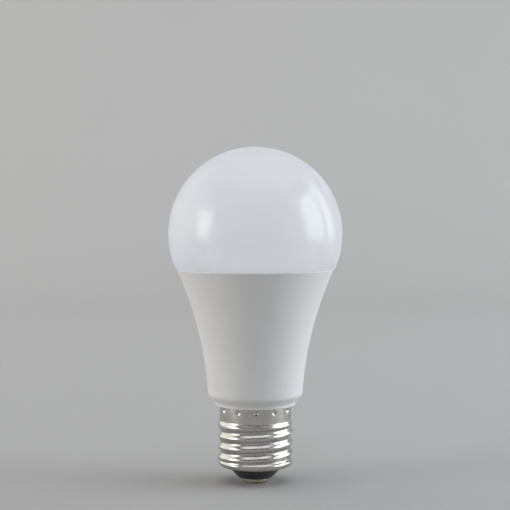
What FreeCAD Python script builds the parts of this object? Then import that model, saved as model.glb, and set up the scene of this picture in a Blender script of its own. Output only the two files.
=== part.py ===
"""Smart light bulb, A60 globe on an E27 screw cap.

Millimetres, +Z up.  The origin is the middle of the centre contact's flat face, so the lamp
stands cap down, with the globe at the top.  The driver board lies in a plane of constant Y;
its front looks along +Y.
"""
import FreeCAD, Part

import math
import os
import re

import Sketcher
from FreeCAD import Placement, Rotation, Vector

# --------------------------------------------------------------------------------------
# Driving sizes: (name, value, meaning).  Everything else is a formula of these.
# --------------------------------------------------------------------------------------
SIZES = [
    # the whole lamp
    ("total_height", 116.0, "contact face to the top of the globe"),
    ("globe_d", 60.0, "diameter of the globe"),
    ("seam_drop", 12.0, "centre of the globe down to the seam"),
    ("cap_height", 27.0, "contact face to the underside of the housing's lip"),
    # diffuser dome
    ("diffuser_wall", 1.5, "wall of the globe"),
    ("seam_overhang", 0.35, "how far the globe stands out over the housing"),
    ("seam_round", 0.3, "rounding of both edges at the seam"),
    ("spigot_wall", 1.3, "wall of the spigot inside the housing's mouth"),
    ("spigot_depth", 2.6, "seam to the end of the spigot"),
    ("spigot_fit", 0.15, "clearance of the spigot in the mouth"),
    ("shoulder", 1.5, "thickness of the globe's floor beside the spigot"),
    ("bead", 0.4, "thickness of the sealant bead"),
    # housing
    ("flank_r", 123.6, "radius of the hollow curve of the housing's side"),
    ("foot_r", 16.35, "radius of the housing's lower corner, before its rounding"),
    ("foot_round", 2.0, "rounding of the lower corner"),
    ("lip_r", 13.95, "radius of the lip round the cap"),
    ("lip_height", 1.0, "height of that lip"),
    ("housing_wall", 1.6, "wall of the housing's side"),
    ("rim_wall", 1.3, "wall of the housing at the end of the spigot"),
    ("floor_wall", 3.2, "underside of the lip to the housing's floor"),
    ("neck_wall", 1.5, "wall of the neck inside the cap"),
    ("neck_depth", 18.0, "underside of the lip to the end of the neck"),
    ("neck_gap", 0.2, "neck to the inside of the cap"),
    ("notch_depth", 1.3, "depth of the notch that the neutral lead lies in"),
    ("notch_width", 1.2, "width of that notch"),
    ("notch_stop", 1.0, "upper end of the notch to the cap's band"),
    ("rail", 1.0, "thickness and reach of the rails for the driver board"),
    # heat sink
    ("cup_fit", 0.15, "clearance of the heat sink in the housing"),
    ("cup_wall", 0.8, "wall of the heat sink's skirt"),
    ("cup_depth", 27.0, "top of the heat sink's plate to the end of its skirt"),
    ("plate", 1.2, "thickness of the heat sink's plate"),
    # screw cap, to the E27 gauge
    ("crest_r", 13.1, "radius of the thread's crests"),
    ("root_r", 12.2, "radius of the thread's roots"),
    ("pitch", 3.629, "pitch of the thread"),
    ("thread_turns", 3.8, "turns of the rolled groove"),
    ("thread_start", 6.9, "height where the groove starts"),
    ("thread_land", 0.12, "flat left between two turns of the groove"),
    ("overcut", 0.1, "how far a cutting outline passes the surface that it cuts"),
    ("shell_wall", 0.45, "sheet of the screw shell"),
    ("band_r", 12.5, "radius of the plain crimped band"),
    ("band_height", 5.6, "height of that band"),
    ("shell_foot", 5.6, "height of the shell's rolled lower edge"),
    ("shell_foot_r", 11.3, "radius where the rolled edge turns flat"),
    ("shell_hole_r", 10.2, "radius of the hole in the shell's foot"),
    ("crimp_drop", 1.4, "underside of the lip to the crimps"),
    ("crimp_r", 0.65, "radius of a crimp"),
    ("crimp_depth", 0.4, "depth of a crimp"),
    ("crimp_count", 12, "crimps round the band"),
    ("crimp_turn", 1.5, "angle of the first crimp from +X"),
    ("crimp_room", 0.25, "clearance of the crimps in the neck's groove"),
    # contact end
    ("insulator_fit", 0.15, "clearance of the insulator in the shell"),
    ("insulator_flange", 1.1, "thickness of the insulator's flange"),
    ("insulator_skin", 1.5, "wall of the insulator's cone"),
    ("contact_r", 5.0, "radius of the centre contact"),
    ("contact_height", 1.5, "height of the centre contact"),
    ("contact_wall", 0.4, "sheet of the centre contact"),
    ("contact_round", 0.8, "rounding of the contact's edge"),
    ("contact_margin", 0.9, "contact's edge to the start of the cone"),
    ("hub_r", 3.0, "radius of the insulator's hub"),
    ("hub_height", 7.6, "height of the hub's top"),
    ("pin_r", 0.9, "radius of the contact pin"),
    ("pin_top", 9.2, "height of the pin's top"),
    ("collar_reach", 0.7, "how far the pin's collar stands out"),
    ("collar_height", 0.6, "height of the pin's collar"),
    # LED board
    ("pad", 0.3, "thickness of the thermal pad"),
    ("led_board", 1.0, "thickness of the LED board"),
    ("led_board_gap", 0.45, "LED board to the spigot"),
    ("white_ring_gap", 4.0, "LED board's edge to the ring of white LEDs"),
    ("white_count", 12, "LEDs of each white"),
    ("white_long", 3.5, "length of a white LED"),
    ("white_wide", 2.8, "width of a white LED"),
    ("colour_ring_r", 12.5, "radius of the ring of colour LEDs"),
    ("colour_count", 6, "colour LEDs"),
    ("colour_side", 3.5, "side of a colour LED"),
    ("led_height", 0.8, "height of an LED"),
    ("led_rim", 0.35, "rim of an LED round its lens"),
    ("lens_depth", 0.5, "depth of an LED's lens"),
    ("screw_ring_r", 11.0, "radius of the ring of board screws"),
    ("screw_count", 3, "board screws"),
    ("screw_r", 1.45, "radius of a screw's shank"),
    ("screw_hole_gap", 0.1, "clearance of a screw in its hole"),
    ("screw_long", 6.0, "length of a screw's shank"),
    ("screw_point", 0.3, "chamfer of a screw's point"),
    ("head_r", 2.7, "radius of a screw's head"),
    ("head_height", 1.6, "height of a screw's head"),
    ("recess_arm", 1.5, "reach of the cross recess"),
    ("recess_wide", 0.6, "width of the cross recess"),
    ("recess_depth", 0.9, "depth of the cross recess"),
    # driver board
    ("driver_front", 2.0, "lamp's axis back to the front face of the driver board"),
    ("driver_board", 1.2, "thickness of the driver board"),
    ("driver_low", 12.0, "height of its lower edge"),
    ("driver_gap", 0.35, "driver board to the walls beside it"),
    ("layout_run", 36.6, "run of the board that the heights of its components are given on"),
    ("driver_drop", 3.0, "heat sink's plate to the top of the driver board"),
    ("rail_fit", 0.15, "clearance of the driver board in its rails"),
    ("hole_gap", 0.08, "clearance of a lead in its hole"),
    ("lead_r", 0.3, "radius of a component's lead"),
    ("lead_tail", 0.6, "how far a lead stands out behind the board"),
    # header and its socket
    ("header_pins", 4, "pins of the header"),
    ("header_pitch", 2.54, "pitch of the header"),
    ("header_side", 0.64, "side of a header pin"),
    ("header_low", 4.0, "length of the header along the driver board"),
    ("socket_height", 4.2, "height of the socket"),
    ("socket_margin", 1.7, "socket round its outer pins"),
    ("socket_fit", 0.05, "clearance of a pin in the socket"),
    ("socket_cover", 0.6, "socket's top above the header pins"),
    ("slot_gap", 0.6, "clearance of the slots round what passes through"),
    # radio module
    ("radio_y", 7.0, "lamp's axis forward to the middle of the radio board"),
    ("radio_board", 0.8, "thickness of the radio board"),
    ("radio_wide", 12.0, "width of the radio board"),
    ("radio_above", 9.5, "how far it stands above the LED board"),
    ("radio_below", 9.5, "how far it hangs below the heat sink's plate"),
    ("shield_wide", 10.0, "width of the shield can"),
    ("shield_tall", 7.6, "height of the shield can"),
    ("shield_deep", 1.8, "depth of the shield can"),
    ("shield_up", 0.8, "radio board's lower edge to the shield can"),
    ("antenna_wide", 8.4, "width of the antenna's meander"),
    ("antenna_step", 1.2, "rise of each turn of the meander"),
    ("antenna_turns", 5, "cross bars of the meander"),
    ("antenna_margin", 0.6, "radio board's upper edge to the meander"),
    ("trace_wide", 0.5, "width of the antenna's trace"),
    ("trace_thick", 0.1, "thickness of the antenna's trace"),
    ("radio_pins", 5, "pins between the radio and the driver board"),
    ("radio_pin_pitch", 2.0, "pitch of those pins"),
    ("radio_pin_up", 1.6, "radio board's lower edge to those pins"),
    # wound parts; "up" is a height above the housing's floor on the layout's run
    ("transformer_x", -6.6, "middle of the transformer, across"),
    ("transformer_up", 14.3, "middle of the transformer"),
    ("core_wide", 10.2, "transformer core, across"),
    ("core_tall", 10.6, "transformer core, upward"),
    ("core_deep", 4.8, "transformer core, front to back"),
    ("core_leg", 2.4, "middle leg of the core"),
    ("core_yoke", 1.5, "outer legs and yokes of the core"),
    ("bobbin_wall", 0.5, "wall of the bobbin"),
    ("bobbin_fit", 0.1, "clearance of the bobbin on the core"),
    ("bobbin_flange", 0.6, "thickness of the bobbin's flanges"),
    ("winding_fit", 0.15, "winding short of the bobbin's edge"),
    ("pin_rise", 0.28, "transformer pins above and below its middle, as a share of the core"),
    ("choke_x", 3.0, "middle of the choke, across"),
    ("choke_up", 12.0, "middle of the choke"),
    ("choke_r", 3.0, "radius of the choke's flanges"),
    ("choke_core_r", 1.4, "radius of the choke's middle"),
    ("choke_long", 7.0, "length of the choke"),
    ("choke_flange", 1.0, "thickness of the choke's flanges"),
    # electrolytic capacitors
    ("input_sink", 1.2, "housing's floor down to the top of the input capacitor"),
    ("output_x", 8.2, "middle of the output capacitor, across"),
    ("output_up", 6.0, "low end of the output capacitor"),
    ("can_r", 4.0, "radius of an electrolytic capacitor, over its sleeve"),
    ("can_long", 12.0, "length of an electrolytic capacitor"),
    ("can_sleeve", 0.15, "thickness of its sleeve"),
    ("can_open", 2.8, "radius of the bare top inside the sleeve's turned edge"),
    ("can_seal", 1.2, "thickness of the rubber plug"),
    ("can_pitch", 3.5, "pitch of the capacitor's leads"),
    ("can_lead_out", 1.6, "end of the capacitor to the bend of its leads"),
    ("part_gap", 0.2, "components to the driver board"),
    # varistor, film capacitor and fusible resistor
    ("varistor_x", 5.5, "middle of the varistor, across"),
    ("varistor_up", 26.1, "middle of the varistor"),
    ("varistor_r", 3.5, "radius of the varistor"),
    ("varistor_deep", 2.6, "thickness of the varistor"),
    ("film_x", -7.3, "middle of the film capacitor, across"),
    ("film_up", 26.8, "middle of the film capacitor"),
    ("film_wide", 9.0, "width of the film capacitor"),
    ("film_deep", 4.5, "depth of the film capacitor"),
    ("film_tall", 6.6, "height of the film capacitor"),
    ("short_pitch", 4.4, "pitch of the leads of the varistor, film capacitor and choke"),
    ("fuse_x", -4.6, "axis of the fusible resistor, across"),
    ("fuse_up", 8.6, "driver board's lower edge to the middle of the fusible resistor"),
    ("fuse_back", 1.9, "back of the driver board to the axis of the fusible resistor"),
    ("fuse_r", 1.2, "radius of the fusible resistor"),
    ("fuse_long", 6.4, "length of the fusible resistor"),
    ("fuse_cover_r", 1.5, "radius of its sleeve"),
    ("fuse_cover_long", 7.6, "length of its sleeve"),
    ("fuse_pitch", 11.2, "pitch of its leads"),
    ("lead_bend", 0.7, "bend of the components' leads, at the middle of the wire"),
    # parts on the back of the driver board
    ("chip_x", -6.0, "middle of the rectifier and of the control chip, across"),
    ("rectifier_up", 6.0, "middle of the rectifier"),
    ("rectifier_wide", 4.7, "width of the rectifier"),
    ("rectifier_deep", 1.5, "thickness of the rectifier"),
    ("control_up", 21.8, "middle of the control chip"),
    ("control_wide", 4.9, "width of the control chip"),
    ("control_deep", 1.45, "thickness of the control chip"),
    ("chip_tall", 3.9, "height of the rectifier and of the control chip"),
    ("rectifier_stand", 0.2, "rectifier to the driver board"),
    ("control_stand", 0.175, "control chip to the driver board"),
    ("leg_pitch", 1.27, "pitch of the control chip's legs"),
    ("leg_reach", 2.45, "middle of a chip to the middle of its legs"),
    ("leg_wide", 0.4, "width of a leg"),
    ("leg_long", 1.0, "length of a leg"),
    ("leg_thick", 0.15, "thickness of a leg"),
    ("diode_x", 8.0, "middle of the diodes, across"),
    ("diode_up", 18.0, "middle of the lower diode"),
    ("diode_step", 4.0, "rise from one diode to the next"),
    ("diode_wide", 4.3, "width of a diode"),
    ("diode_deep", 2.1, "thickness of a diode"),
    ("diode_tall", 2.6, "height of a diode"),
    ("resistor_x", -9.5, "middle of the first column of chip resistors"),
    ("resistor_step", 3.4, "pitch of their columns"),
    ("resistor_drop", 1.6, "top of the driver board to the middle of their first row"),
    ("resistor_row", 2.6, "pitch of their rows"),
    ("resistor_wide", 2.0, "width of a chip resistor"),
    ("resistor_deep", 0.5, "thickness of a chip resistor"),
    ("resistor_tall", 1.2, "height of a chip resistor"),
    ("ceramic_x", -0.6, "middle of the first column of chip capacitors"),
    ("ceramic_step", 2.2, "pitch of their columns"),
    ("ceramic_up", 3.2, "middle of their first row"),
    ("ceramic_row", 3.0, "pitch of their rows"),
    ("ceramic_wide", 1.2, "width of a chip capacitor"),
    ("ceramic_deep", 0.9, "thickness of a chip capacitor"),
    ("ceramic_tall", 2.0, "height of a chip capacitor"),
    # leads from the cap
    ("wire_r", 0.3, "radius of the bare neutral lead"),
    ("wire_bend", 0.6, "bend of the neutral lead"),
    ("wire_lift", 0.1, "neutral lead to the bottom of its notch"),
    ("wire_joint", 4.0, "driver board's lower edge to the upper end of the neutral lead"),
    ("wire_end", 2.0, "cap's band down to the outer end of the neutral lead"),
    ("live_r", 0.65, "radius of the insulated live lead"),
    ("live_bend", 1.2, "bend of the live lead"),
    ("live_rise", 1.5, "top of the contact pin to the live lead's first bend"),
    ("live_turn", 0.8, "driver board's lower edge to its second bend"),
    ("live_joint", 3.6, "driver board's lower edge to its end"),
]

# Formulas of the driving sizes, each named once.
FORMULAS = {
    "globe_r": "globe_d / 2",
    "globe_z": "total_height - globe_r",
    "seam_z": "globe_z - seam_drop",
    "seam_r": "sqrt(globe_r^2 - seam_drop^2)",
    "mouth_r": "seam_r - seam_overhang",
    "foot_z": "cap_height + lip_height + foot_r - lip_r",
    "flank_run": "mouth_r - foot_r",
    "flank_rise": "seam_z - foot_z",
    "flank_chord": "sqrt(flank_run^2 + flank_rise^2)",
    "flank_stand": "sqrt(flank_r^2 - flank_chord^2 / 4)",
    "flank_x": "(mouth_r + foot_r) / 2 + flank_stand * flank_rise / flank_chord",
    "flank_z": "(seam_z + foot_z) / 2 - flank_stand * flank_run / flank_chord",
    "spigot_z": "seam_z - spigot_depth",
    "ledge_z": "spigot_z - bead",
    "floor_z": "cap_height + floor_wall",
    "plate_z": "ledge_z - plate",
    "cup_z": "ledge_z - cup_depth",
    "cup_offset": "housing_wall + cup_fit",
    "inner_globe_r": "globe_r - diffuser_wall",
    "inner_seam_r": "sqrt(inner_globe_r^2 - (seam_drop - shoulder)^2)",
    "bore_root_r": "root_r - shell_wall",
    "band_bore_r": "band_r - shell_wall",
    "band_z": "cap_height - band_height",
    "neck_r": "bore_root_r - neck_gap",
    "neck_bore_r": "neck_r - neck_wall",
    "neck_z": "cap_height - neck_depth",
    "collar_r": "band_bore_r - neck_gap",
    "crimp_z": "cap_height - crimp_drop",
    "crimp_groove_r": "band_r - crimp_depth - shell_wall - crimp_room",
    "crimp_groove_half": "crimp_r + shell_wall + crimp_room",
    "shell_floor": "shell_foot + shell_wall",
    "insulator_top": "shell_floor + insulator_flange",
    "insulator_r": "shell_hole_r - insulator_fit",
    "insulator_rim_r": "bore_root_r - insulator_fit",
    "cone_r": "contact_r + contact_margin",
    "cone_z": "contact_height + insulator_fit",
    "led_board_z": "ledge_z + pad",
    "led_top_z": "led_board_z + led_board",
    "driver_back": "driver_front + driver_board",
    "driver_top": "plate_z - driver_drop",
    "driver_half_low": "sqrt(neck_bore_r^2 - driver_back^2) - driver_gap",
    "driver_spread": "(driver_top - floor_z) / layout_run",
    "can_y": "can_r + part_gap - driver_front",
    "radio_z": "plate_z - radio_below",
}


def flank(height, offset):
    """Formula of the radius of the housing's hollow side, moved inward by an offset."""
    return f"flank_x - sqrt((flank_r + {offset})^2 - ({height} - flank_z)^2)"


FORMULAS["bore_r"] = f"({flank('ledge_z', '0')}) - rim_wall"
FORMULAS["spigot_r"] = "bore_r - spigot_fit"
FORMULAS["spigot_bore_r"] = "spigot_r - spigot_wall"
FORMULAS["led_board_r"] = "spigot_bore_r - led_board_gap"
FORMULAS["white_ring_r"] = "led_board_r - white_ring_gap"
# The driver board clears the housing and the heat sink where each is narrowest.
FORMULAS["housing_waist_r"] = flank("max(floor_z; min(flank_z; driver_top))", "housing_wall")
FORMULAS["cup_waist_r"] = flank("max(cup_z; min(flank_z; driver_top))", "(cup_offset + cup_wall)")
FORMULAS["driver_half"] = (
    "sqrt(min(housing_waist_r; cup_waist_r)^2 - driver_back^2) - driver_gap"
)

doc = FreeCAD.newDocument("smart_light_bulb")
sheet = doc.addObject("Spreadsheet::Sheet", "Sizes")
for row, (size_name, size_value, meaning) in enumerate(SIZES, start=1):
    sheet.set(f"A{row}", str(size_value))
    sheet.setAlias(f"A{row}", size_name)
    sheet.set(f"B{row}", meaning)
doc.recompute()

DRIVING = {size_name for size_name, _, _ in SIZES}
nodes = []


def formula(text):
    """Spell a formula over the named sizes as a FreeCAD expression."""
    def spell(match):
        word = match.group(0)
        if word in FORMULAS:
            return "(" + formula(FORMULAS[word]) + ")"
        return "Sizes." + word if word in DRIVING else word
    return re.sub(r"[a-z_][a-z_0-9]*", spell, text)


def number(text):
    """Value of a formula, for the code that needs it as a plain number."""
    return float(sheet.evalExpression(formula(text)))


def bind(thing, prop, text):
    thing.setExpression(prop, formula(text))


def node(thing, name):
    """Name a finished sub-part; the name is also its file's name."""
    thing.Label = name
    nodes.append(thing)
    return thing


# --------------------------------------------------------------------------------------
# PartDesign helpers
# --------------------------------------------------------------------------------------
def new_body(name):
    return doc.addObject("PartDesign::Body", name)


def origin_feature(body, role):
    return next(item for item in body.Origin.OriginFeatures if item.Role == role)


def new_sketch(body, name, role, lift="0"):
    """Sketch on one of the body's own origin planes, lifted along the plane's normal."""
    sketch = body.newObject("Sketcher::SketchObject", name)
    sketch.AttachmentSupport = (origin_feature(body, role), [""])
    sketch.MapMode = "FlatFace"
    if lift != "0":
        bind(sketch, "AttachmentOffset.Base.z", lift)
    return sketch


def hold(sketch, element, end, x, y):
    """Hold a point of a sketch at two formulas, measured from the sketch's origin."""
    for kind, text, axis in (("DistanceX", x, -2), ("DistanceY", y, -1)):
        if text == "0":
            sketch.addConstraint(Sketcher.Constraint("PointOnObject", element, end, axis))
            continue
        constraint = Sketcher.Constraint(kind, -1, 1, element, end, number(text))
        index = sketch.addConstraint(constraint)
        bind(sketch, f"Constraints[{index}]", text)


def add_circle(sketch, x, y, radius):
    centre = Vector(number(x), number(y), 0)
    circle = Part.Circle(centre, Vector(0, 0, 1), number(radius))
    element = sketch.addGeometry(circle)
    hold(sketch, element, 3, x, y)
    index = sketch.addConstraint(Sketcher.Constraint("Radius", element, number(radius)))
    bind(sketch, f"Constraints[{index}]", radius)


def arc_between(start, finish, radius):
    """Arc that turns left from start to finish, by less than half a circle."""
    chord = finish - start
    left = Vector(-chord.y, chord.x, 0).normalize()
    sagitta = radius - math.sqrt(radius ** 2 - chord.Length ** 2 / 4)
    return Part.Arc(start, (start + finish) / 2 - left * sagitta, finish)


def add_loop(sketch, corners):
    """Closed outline.  A corner is (x, y), or (x, y, radius) where the run that arrives at it
    is an arc; that arc turns left, or right where a minus sign stands before the radius."""
    points = [Vector(number(corner[0]), number(corner[1]), 0) for corner in corners]
    runs = []
    for index, corner in enumerate(corners):
        start, finish = points[index - 1], points[index]
        if len(corner) == 2:
            runs.append((sketch.addGeometry(Part.LineSegment(start, finish)), 1, 2))
            continue
        turns_right = corner[2].startswith("-")
        radius = corner[2].lstrip("-")
        if turns_right:
            arc = arc_between(finish, start, number(radius))
            runs.append((sketch.addGeometry(arc), 2, 1))
        else:
            arc = arc_between(start, finish, number(radius))
            runs.append((sketch.addGeometry(arc), 1, 2))
        place = sketch.addConstraint(
            Sketcher.Constraint("Radius", runs[-1][0], number(radius))
        )
        bind(sketch, f"Constraints[{place}]", radius)
    for index, corner in enumerate(corners):
        element, _, finish_end = runs[index]
        following, start_end, _ = runs[(index + 1) % len(runs)]
        sketch.addConstraint(
            Sketcher.Constraint("Coincident", element, finish_end, following, start_end)
        )
        hold(sketch, element, finish_end, corner[0], corner[1])


def add_box(sketch, left, right, low, high):
    add_loop(sketch, [(left, low), (right, low), (right, high), (left, high)])


def revolve(body, name, corners, kind="PartDesign::Revolution"):
    """Revolve an outline of (radius, height) corners about the lamp's axis."""
    sketch = new_sketch(body, name + "_outline", "XZ_Plane")
    add_loop(sketch, corners)
    feature = body.newObject(kind, name)
    feature.Profile = sketch
    feature.ReferenceAxis = (sketch, ["V_Axis"])
    feature.Angle = 360
    return feature


def pad(body, name, sketch, length, backward=False):
    feature = body.newObject("PartDesign::Pad", name)
    feature.Profile = sketch
    feature.Reversed = backward
    bind(feature, "Length", length)
    return feature


def pocket(body, name, sketch, length, forward=False):
    """Cut against the sketch's normal, or along it when forward, and check that it cuts."""
    doc.recompute()
    before = body.Shape.Volume
    feature = body.newObject("PartDesign::Pocket", name)
    feature.Profile = sketch
    feature.Reversed = forward
    bind(feature, "Length", length)
    doc.recompute()
    if body.Shape.Volume >= before:
        raise ValueError(f"{name} cuts nothing")
    return feature


def ring_pattern(body, name, features, count):
    pattern = body.newObject("PartDesign::PolarPattern", name)
    pattern.Originals = features
    pattern.Axis = (origin_feature(body, "Z_Axis"), [""])
    pattern.Angle = 360
    bind(pattern, "Occurrences", count)
    body.Tip = pattern
    return pattern


def round_edge(body, name, radius, height, size):
    """Round the circular edges of one radius and height."""
    doc.recompute()
    base = body.Tip
    wanted_radius, wanted_height = number(radius), number(height)
    edges = []
    for index, edge in enumerate(base.Shape.Edges, start=1):
        if edge.Degenerated or not isinstance(edge.Curve, Part.Circle):
            continue
        off = math.hypot(edge.Curve.Radius - wanted_radius, edge.Curve.Center.z - wanted_height)
        if off < 1e-3:
            edges.append(f"Edge{index}")
    if not edges:
        raise ValueError(f"{name} finds no edge")
    feature = body.newObject("PartDesign::Fillet", name)
    feature.Base = (base, edges)
    bind(feature, "Radius", size)
    return feature


# --------------------------------------------------------------------------------------
# Part helpers
# --------------------------------------------------------------------------------------
def bind_corner(thing, x, y, z):
    bind(thing, "Placement.Base.x", x)
    bind(thing, "Placement.Base.y", y)
    bind(thing, "Placement.Base.z", z)


def box(name, wide, deep, tall, x, y, z):
    """Box from its low corner."""
    thing = doc.addObject("Part::Box", name)
    bind(thing, "Length", wide)
    bind(thing, "Width", deep)
    bind(thing, "Height", tall)
    bind_corner(thing, x, y, z)
    return thing


def centred_box(name, wide, deep, tall, x, y, z):
    """Box whose middle stands at x, y and z."""
    return box(name, wide, deep, tall,
               f"({x}) - ({wide}) / 2", f"({y}) - ({deep}) / 2", f"({z}) - ({tall}) / 2")


def rod(name, radius, length, x, y, z, along="z"):
    """Cylinder from the middle of its low end, along z or y."""
    thing = doc.addObject("Part::Cylinder", name)
    bind(thing, "Radius", radius)
    bind(thing, "Height", length)
    if along == "y":
        thing.Placement = Placement(Vector(), Rotation(Vector(1, 0, 0), -90))
    bind_corner(thing, x, y, z)
    return thing


def cut(name, base, tools):
    for index, tool in enumerate(tools):
        thing = doc.addObject("Part::Cut", f"{name}_{index}")
        thing.Base = base
        thing.Tool = tool
        base = thing
    return base


def fuse(name, things):
    thing = doc.addObject("Part::MultiFuse", name)
    thing.Shapes = things
    thing.Refine = True
    return thing


def group(name, things):
    """Several separate solids in one sub-part."""
    thing = doc.addObject("Part::Compound", name)
    thing.Links = things
    return thing


def bent_wire(points, radius, bend):
    """Solid round wire along straight runs joined by arcs of one bend radius."""
    corners = [Vector(*[number(text) for text in point]) for point in points]
    edges = []
    start = corners[0]
    for before, corner, after in zip(corners, corners[1:], corners[2:]):
        into = (corner - before).normalize()
        out = (after - corner).normalize()
        turn = into.getAngle(out)
        reach = bend * math.tan(turn / 2)
        first, last = corner - into * reach, corner + out * reach
        inward = (out - into).normalize()
        middle = corner + inward * (bend / math.cos(turn / 2) - bend)
        edges.append(Part.LineSegment(start, first).toShape())
        edges.append(Part.Arc(first, middle, last).toShape())
        start = last
    edges.append(Part.LineSegment(start, corners[-1]).toShape())
    path = Part.Wire(edges)
    heading = corners[1] - corners[0]
    section = Part.Wire(Part.Circle(corners[0], heading, radius).toShape())
    return path.makePipeShell([section], True, False)


def wires(name, paths, radius, bend):
    thing = doc.addObject("Part::Feature", name)
    solids = [bent_wire(path, number(radius), number(bend)) for path in paths]
    thing.Shape = solids[0] if len(solids) == 1 else Part.makeCompound(solids)
    thing.Placement = Placement()
    return thing


# --------------------------------------------------------------------------------------
# Globe and housing
# --------------------------------------------------------------------------------------
def diffuser_dome():
    """Opal globe; a spigot under it drops into the housing's mouth."""
    body = new_body("dome_body")
    revolve(body, "dome_wall", [
        ("0", "total_height"),
        ("seam_r", "seam_z", "-globe_r"),
        ("spigot_r", "seam_z"),
        ("spigot_r", "spigot_z"),
        ("spigot_bore_r", "spigot_z"),
        ("spigot_bore_r", "seam_z + shoulder"),
        ("inner_seam_r", "seam_z + shoulder"),
        ("0", "total_height - diffuser_wall", "inner_globe_r"),
    ])
    round_edge(body, "dome_seam_round", "seam_r", "seam_z", "seam_round")
    return node(body, "diffuser_dome")


def dome_sealant():
    """Silicone bead between the spigot's end and the heat sink's plate."""
    body = new_body("sealant_body")
    revolve(body, "sealant_ring", [
        ("spigot_bore_r", "ledge_z"),
        ("spigot_r", "ledge_z"),
        ("spigot_r", "spigot_z"),
        ("spigot_bore_r", "spigot_z"),
    ])
    return node(body, "dome_sealant")


def housing_shell():
    """White housing with its lip, its neck inside the cap and the rails for the driver."""
    body = new_body("housing_body")
    groove_low = "crimp_z - crimp_groove_half"
    groove_high = "crimp_z + crimp_groove_half"
    revolve(body, "housing_wall", [
        ("bore_r", "seam_z"),
        ("mouth_r", "seam_z"),
        ("foot_r", "foot_z", "flank_r"),
        ("lip_r", "cap_height + lip_height"),
        ("lip_r", "cap_height"),
        ("collar_r", "cap_height"),
        ("collar_r", groove_high),
        ("crimp_groove_r", groove_high),
        ("crimp_groove_r", groove_low),
        ("collar_r", groove_low),
        ("collar_r", "band_z + neck_gap"),
        ("neck_r", "band_z - neck_gap"),
        ("neck_r", "neck_z"),
        ("neck_bore_r", "neck_z"),
        ("neck_bore_r", "floor_z"),
        (flank("floor_z", "housing_wall"), "floor_z"),
        (flank("ledge_z", "housing_wall"), "ledge_z", "-(flank_r + housing_wall)"),
        ("bore_r", "ledge_z"),
    ])
    round_edge(body, "housing_foot_round", "foot_r", "foot_z", "foot_round")
    round_edge(body, "housing_seam_round", "mouth_r", "seam_z", "seam_round")
    rails = new_sketch(body, "rail_outlines", "XY_Plane", "neck_z")
    inside, outside = "driver_half_low - rail", "neck_bore_r + rail / 3"
    faces = [
        ("rail_fit - driver_front", "rail_fit - driver_front + rail"),
        ("-driver_back - rail_fit - rail", "-driver_back - rail_fit"),
    ]
    for near, far in faces:
        add_box(rails, inside, outside, near, far)
        add_box(rails, f"-({outside})", f"-({inside})", near, far)
    pad(body, "rails", rails, "floor_z - neck_z")
    notch = new_sketch(body, "notch_outline", "XY_Plane", "neck_z")
    middle = "driver_back + wire_r"
    add_box(notch, "neck_r - notch_depth", "neck_r + overcut",
            f"-({middle}) - notch_width / 2", f"-({middle}) + notch_width / 2")
    pocket(body, "lead_notch", notch, "band_z - neck_z - notch_stop", forward=True)
    return node(body, "housing_shell")


def heat_sink_cup():
    """Drawn aluminium cup, open downward: its plate carries the LED board."""
    body = new_body("cup_body")
    inner = "cup_offset + cup_wall"
    revolve(body, "cup_wall_and_plate", [
        ("0", "ledge_z"),
        (flank("ledge_z", "cup_offset"), "ledge_z"),
        (flank("cup_z", "cup_offset"), "cup_z", "flank_r + cup_offset"),
        (flank("cup_z", inner), "cup_z"),
        (flank("plate_z", inner), "plate_z", f"-(flank_r + {inner})"),
        ("0", "plate_z"),
    ])
    openings = new_sketch(body, "plate_openings", "XY_Plane", "ledge_z")
    add_openings(openings, "screw_r + screw_hole_gap / 2")
    pocket(body, "plate_cuts", openings, "plate")
    return node(body, "heat_sink_cup")


# --------------------------------------------------------------------------------------
# LED board and what is on it
# --------------------------------------------------------------------------------------
HEADER_HALF = "((header_pins - 1) * header_pitch / 2 + header_side / 2)"
HEADER_Y = "(header_side / 2 - driver_front)"


def add_openings(sketch, hole_r):
    """Slots for the header and the radio board, and the holes of the board screws."""
    half_wide = f"{HEADER_HALF} + slot_gap"
    half_deep = "(header_side / 2 + slot_gap)"
    add_box(sketch, f"-({half_wide})", half_wide,
            f"{HEADER_Y} - {half_deep}", f"{HEADER_Y} + {half_deep}")
    half_wide = "radio_wide / 2 + slot_gap / 2"
    half_deep = "(radio_board / 2 + slot_gap / 2)"
    add_box(sketch, f"-({half_wide})", half_wide,
            f"radio_y - {half_deep}", f"radio_y + {half_deep}")
    for x, y in screw_places():
        add_circle(sketch, x, y, hole_r)


def screw_places():
    """The board screws lie on a ring, the first one towards -Y."""
    return [
        (f"screw_ring_r * cos(270 + {index} * 360 / screw_count)",
         f"screw_ring_r * sin(270 + {index} * 360 / screw_count)")
        for index in range(round(number("screw_count")))
    ]


def round_plate(name, label, radius, height, thickness):
    """Round board or pad with the plate's openings."""
    body = new_body(name + "_body")
    sketch = new_sketch(body, name + "_outline", "XY_Plane", height)
    add_circle(sketch, "0", "0", radius)
    add_openings(sketch, "screw_r + screw_hole_gap")
    pad(body, name, sketch, thickness)
    return node(body, label)


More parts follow.
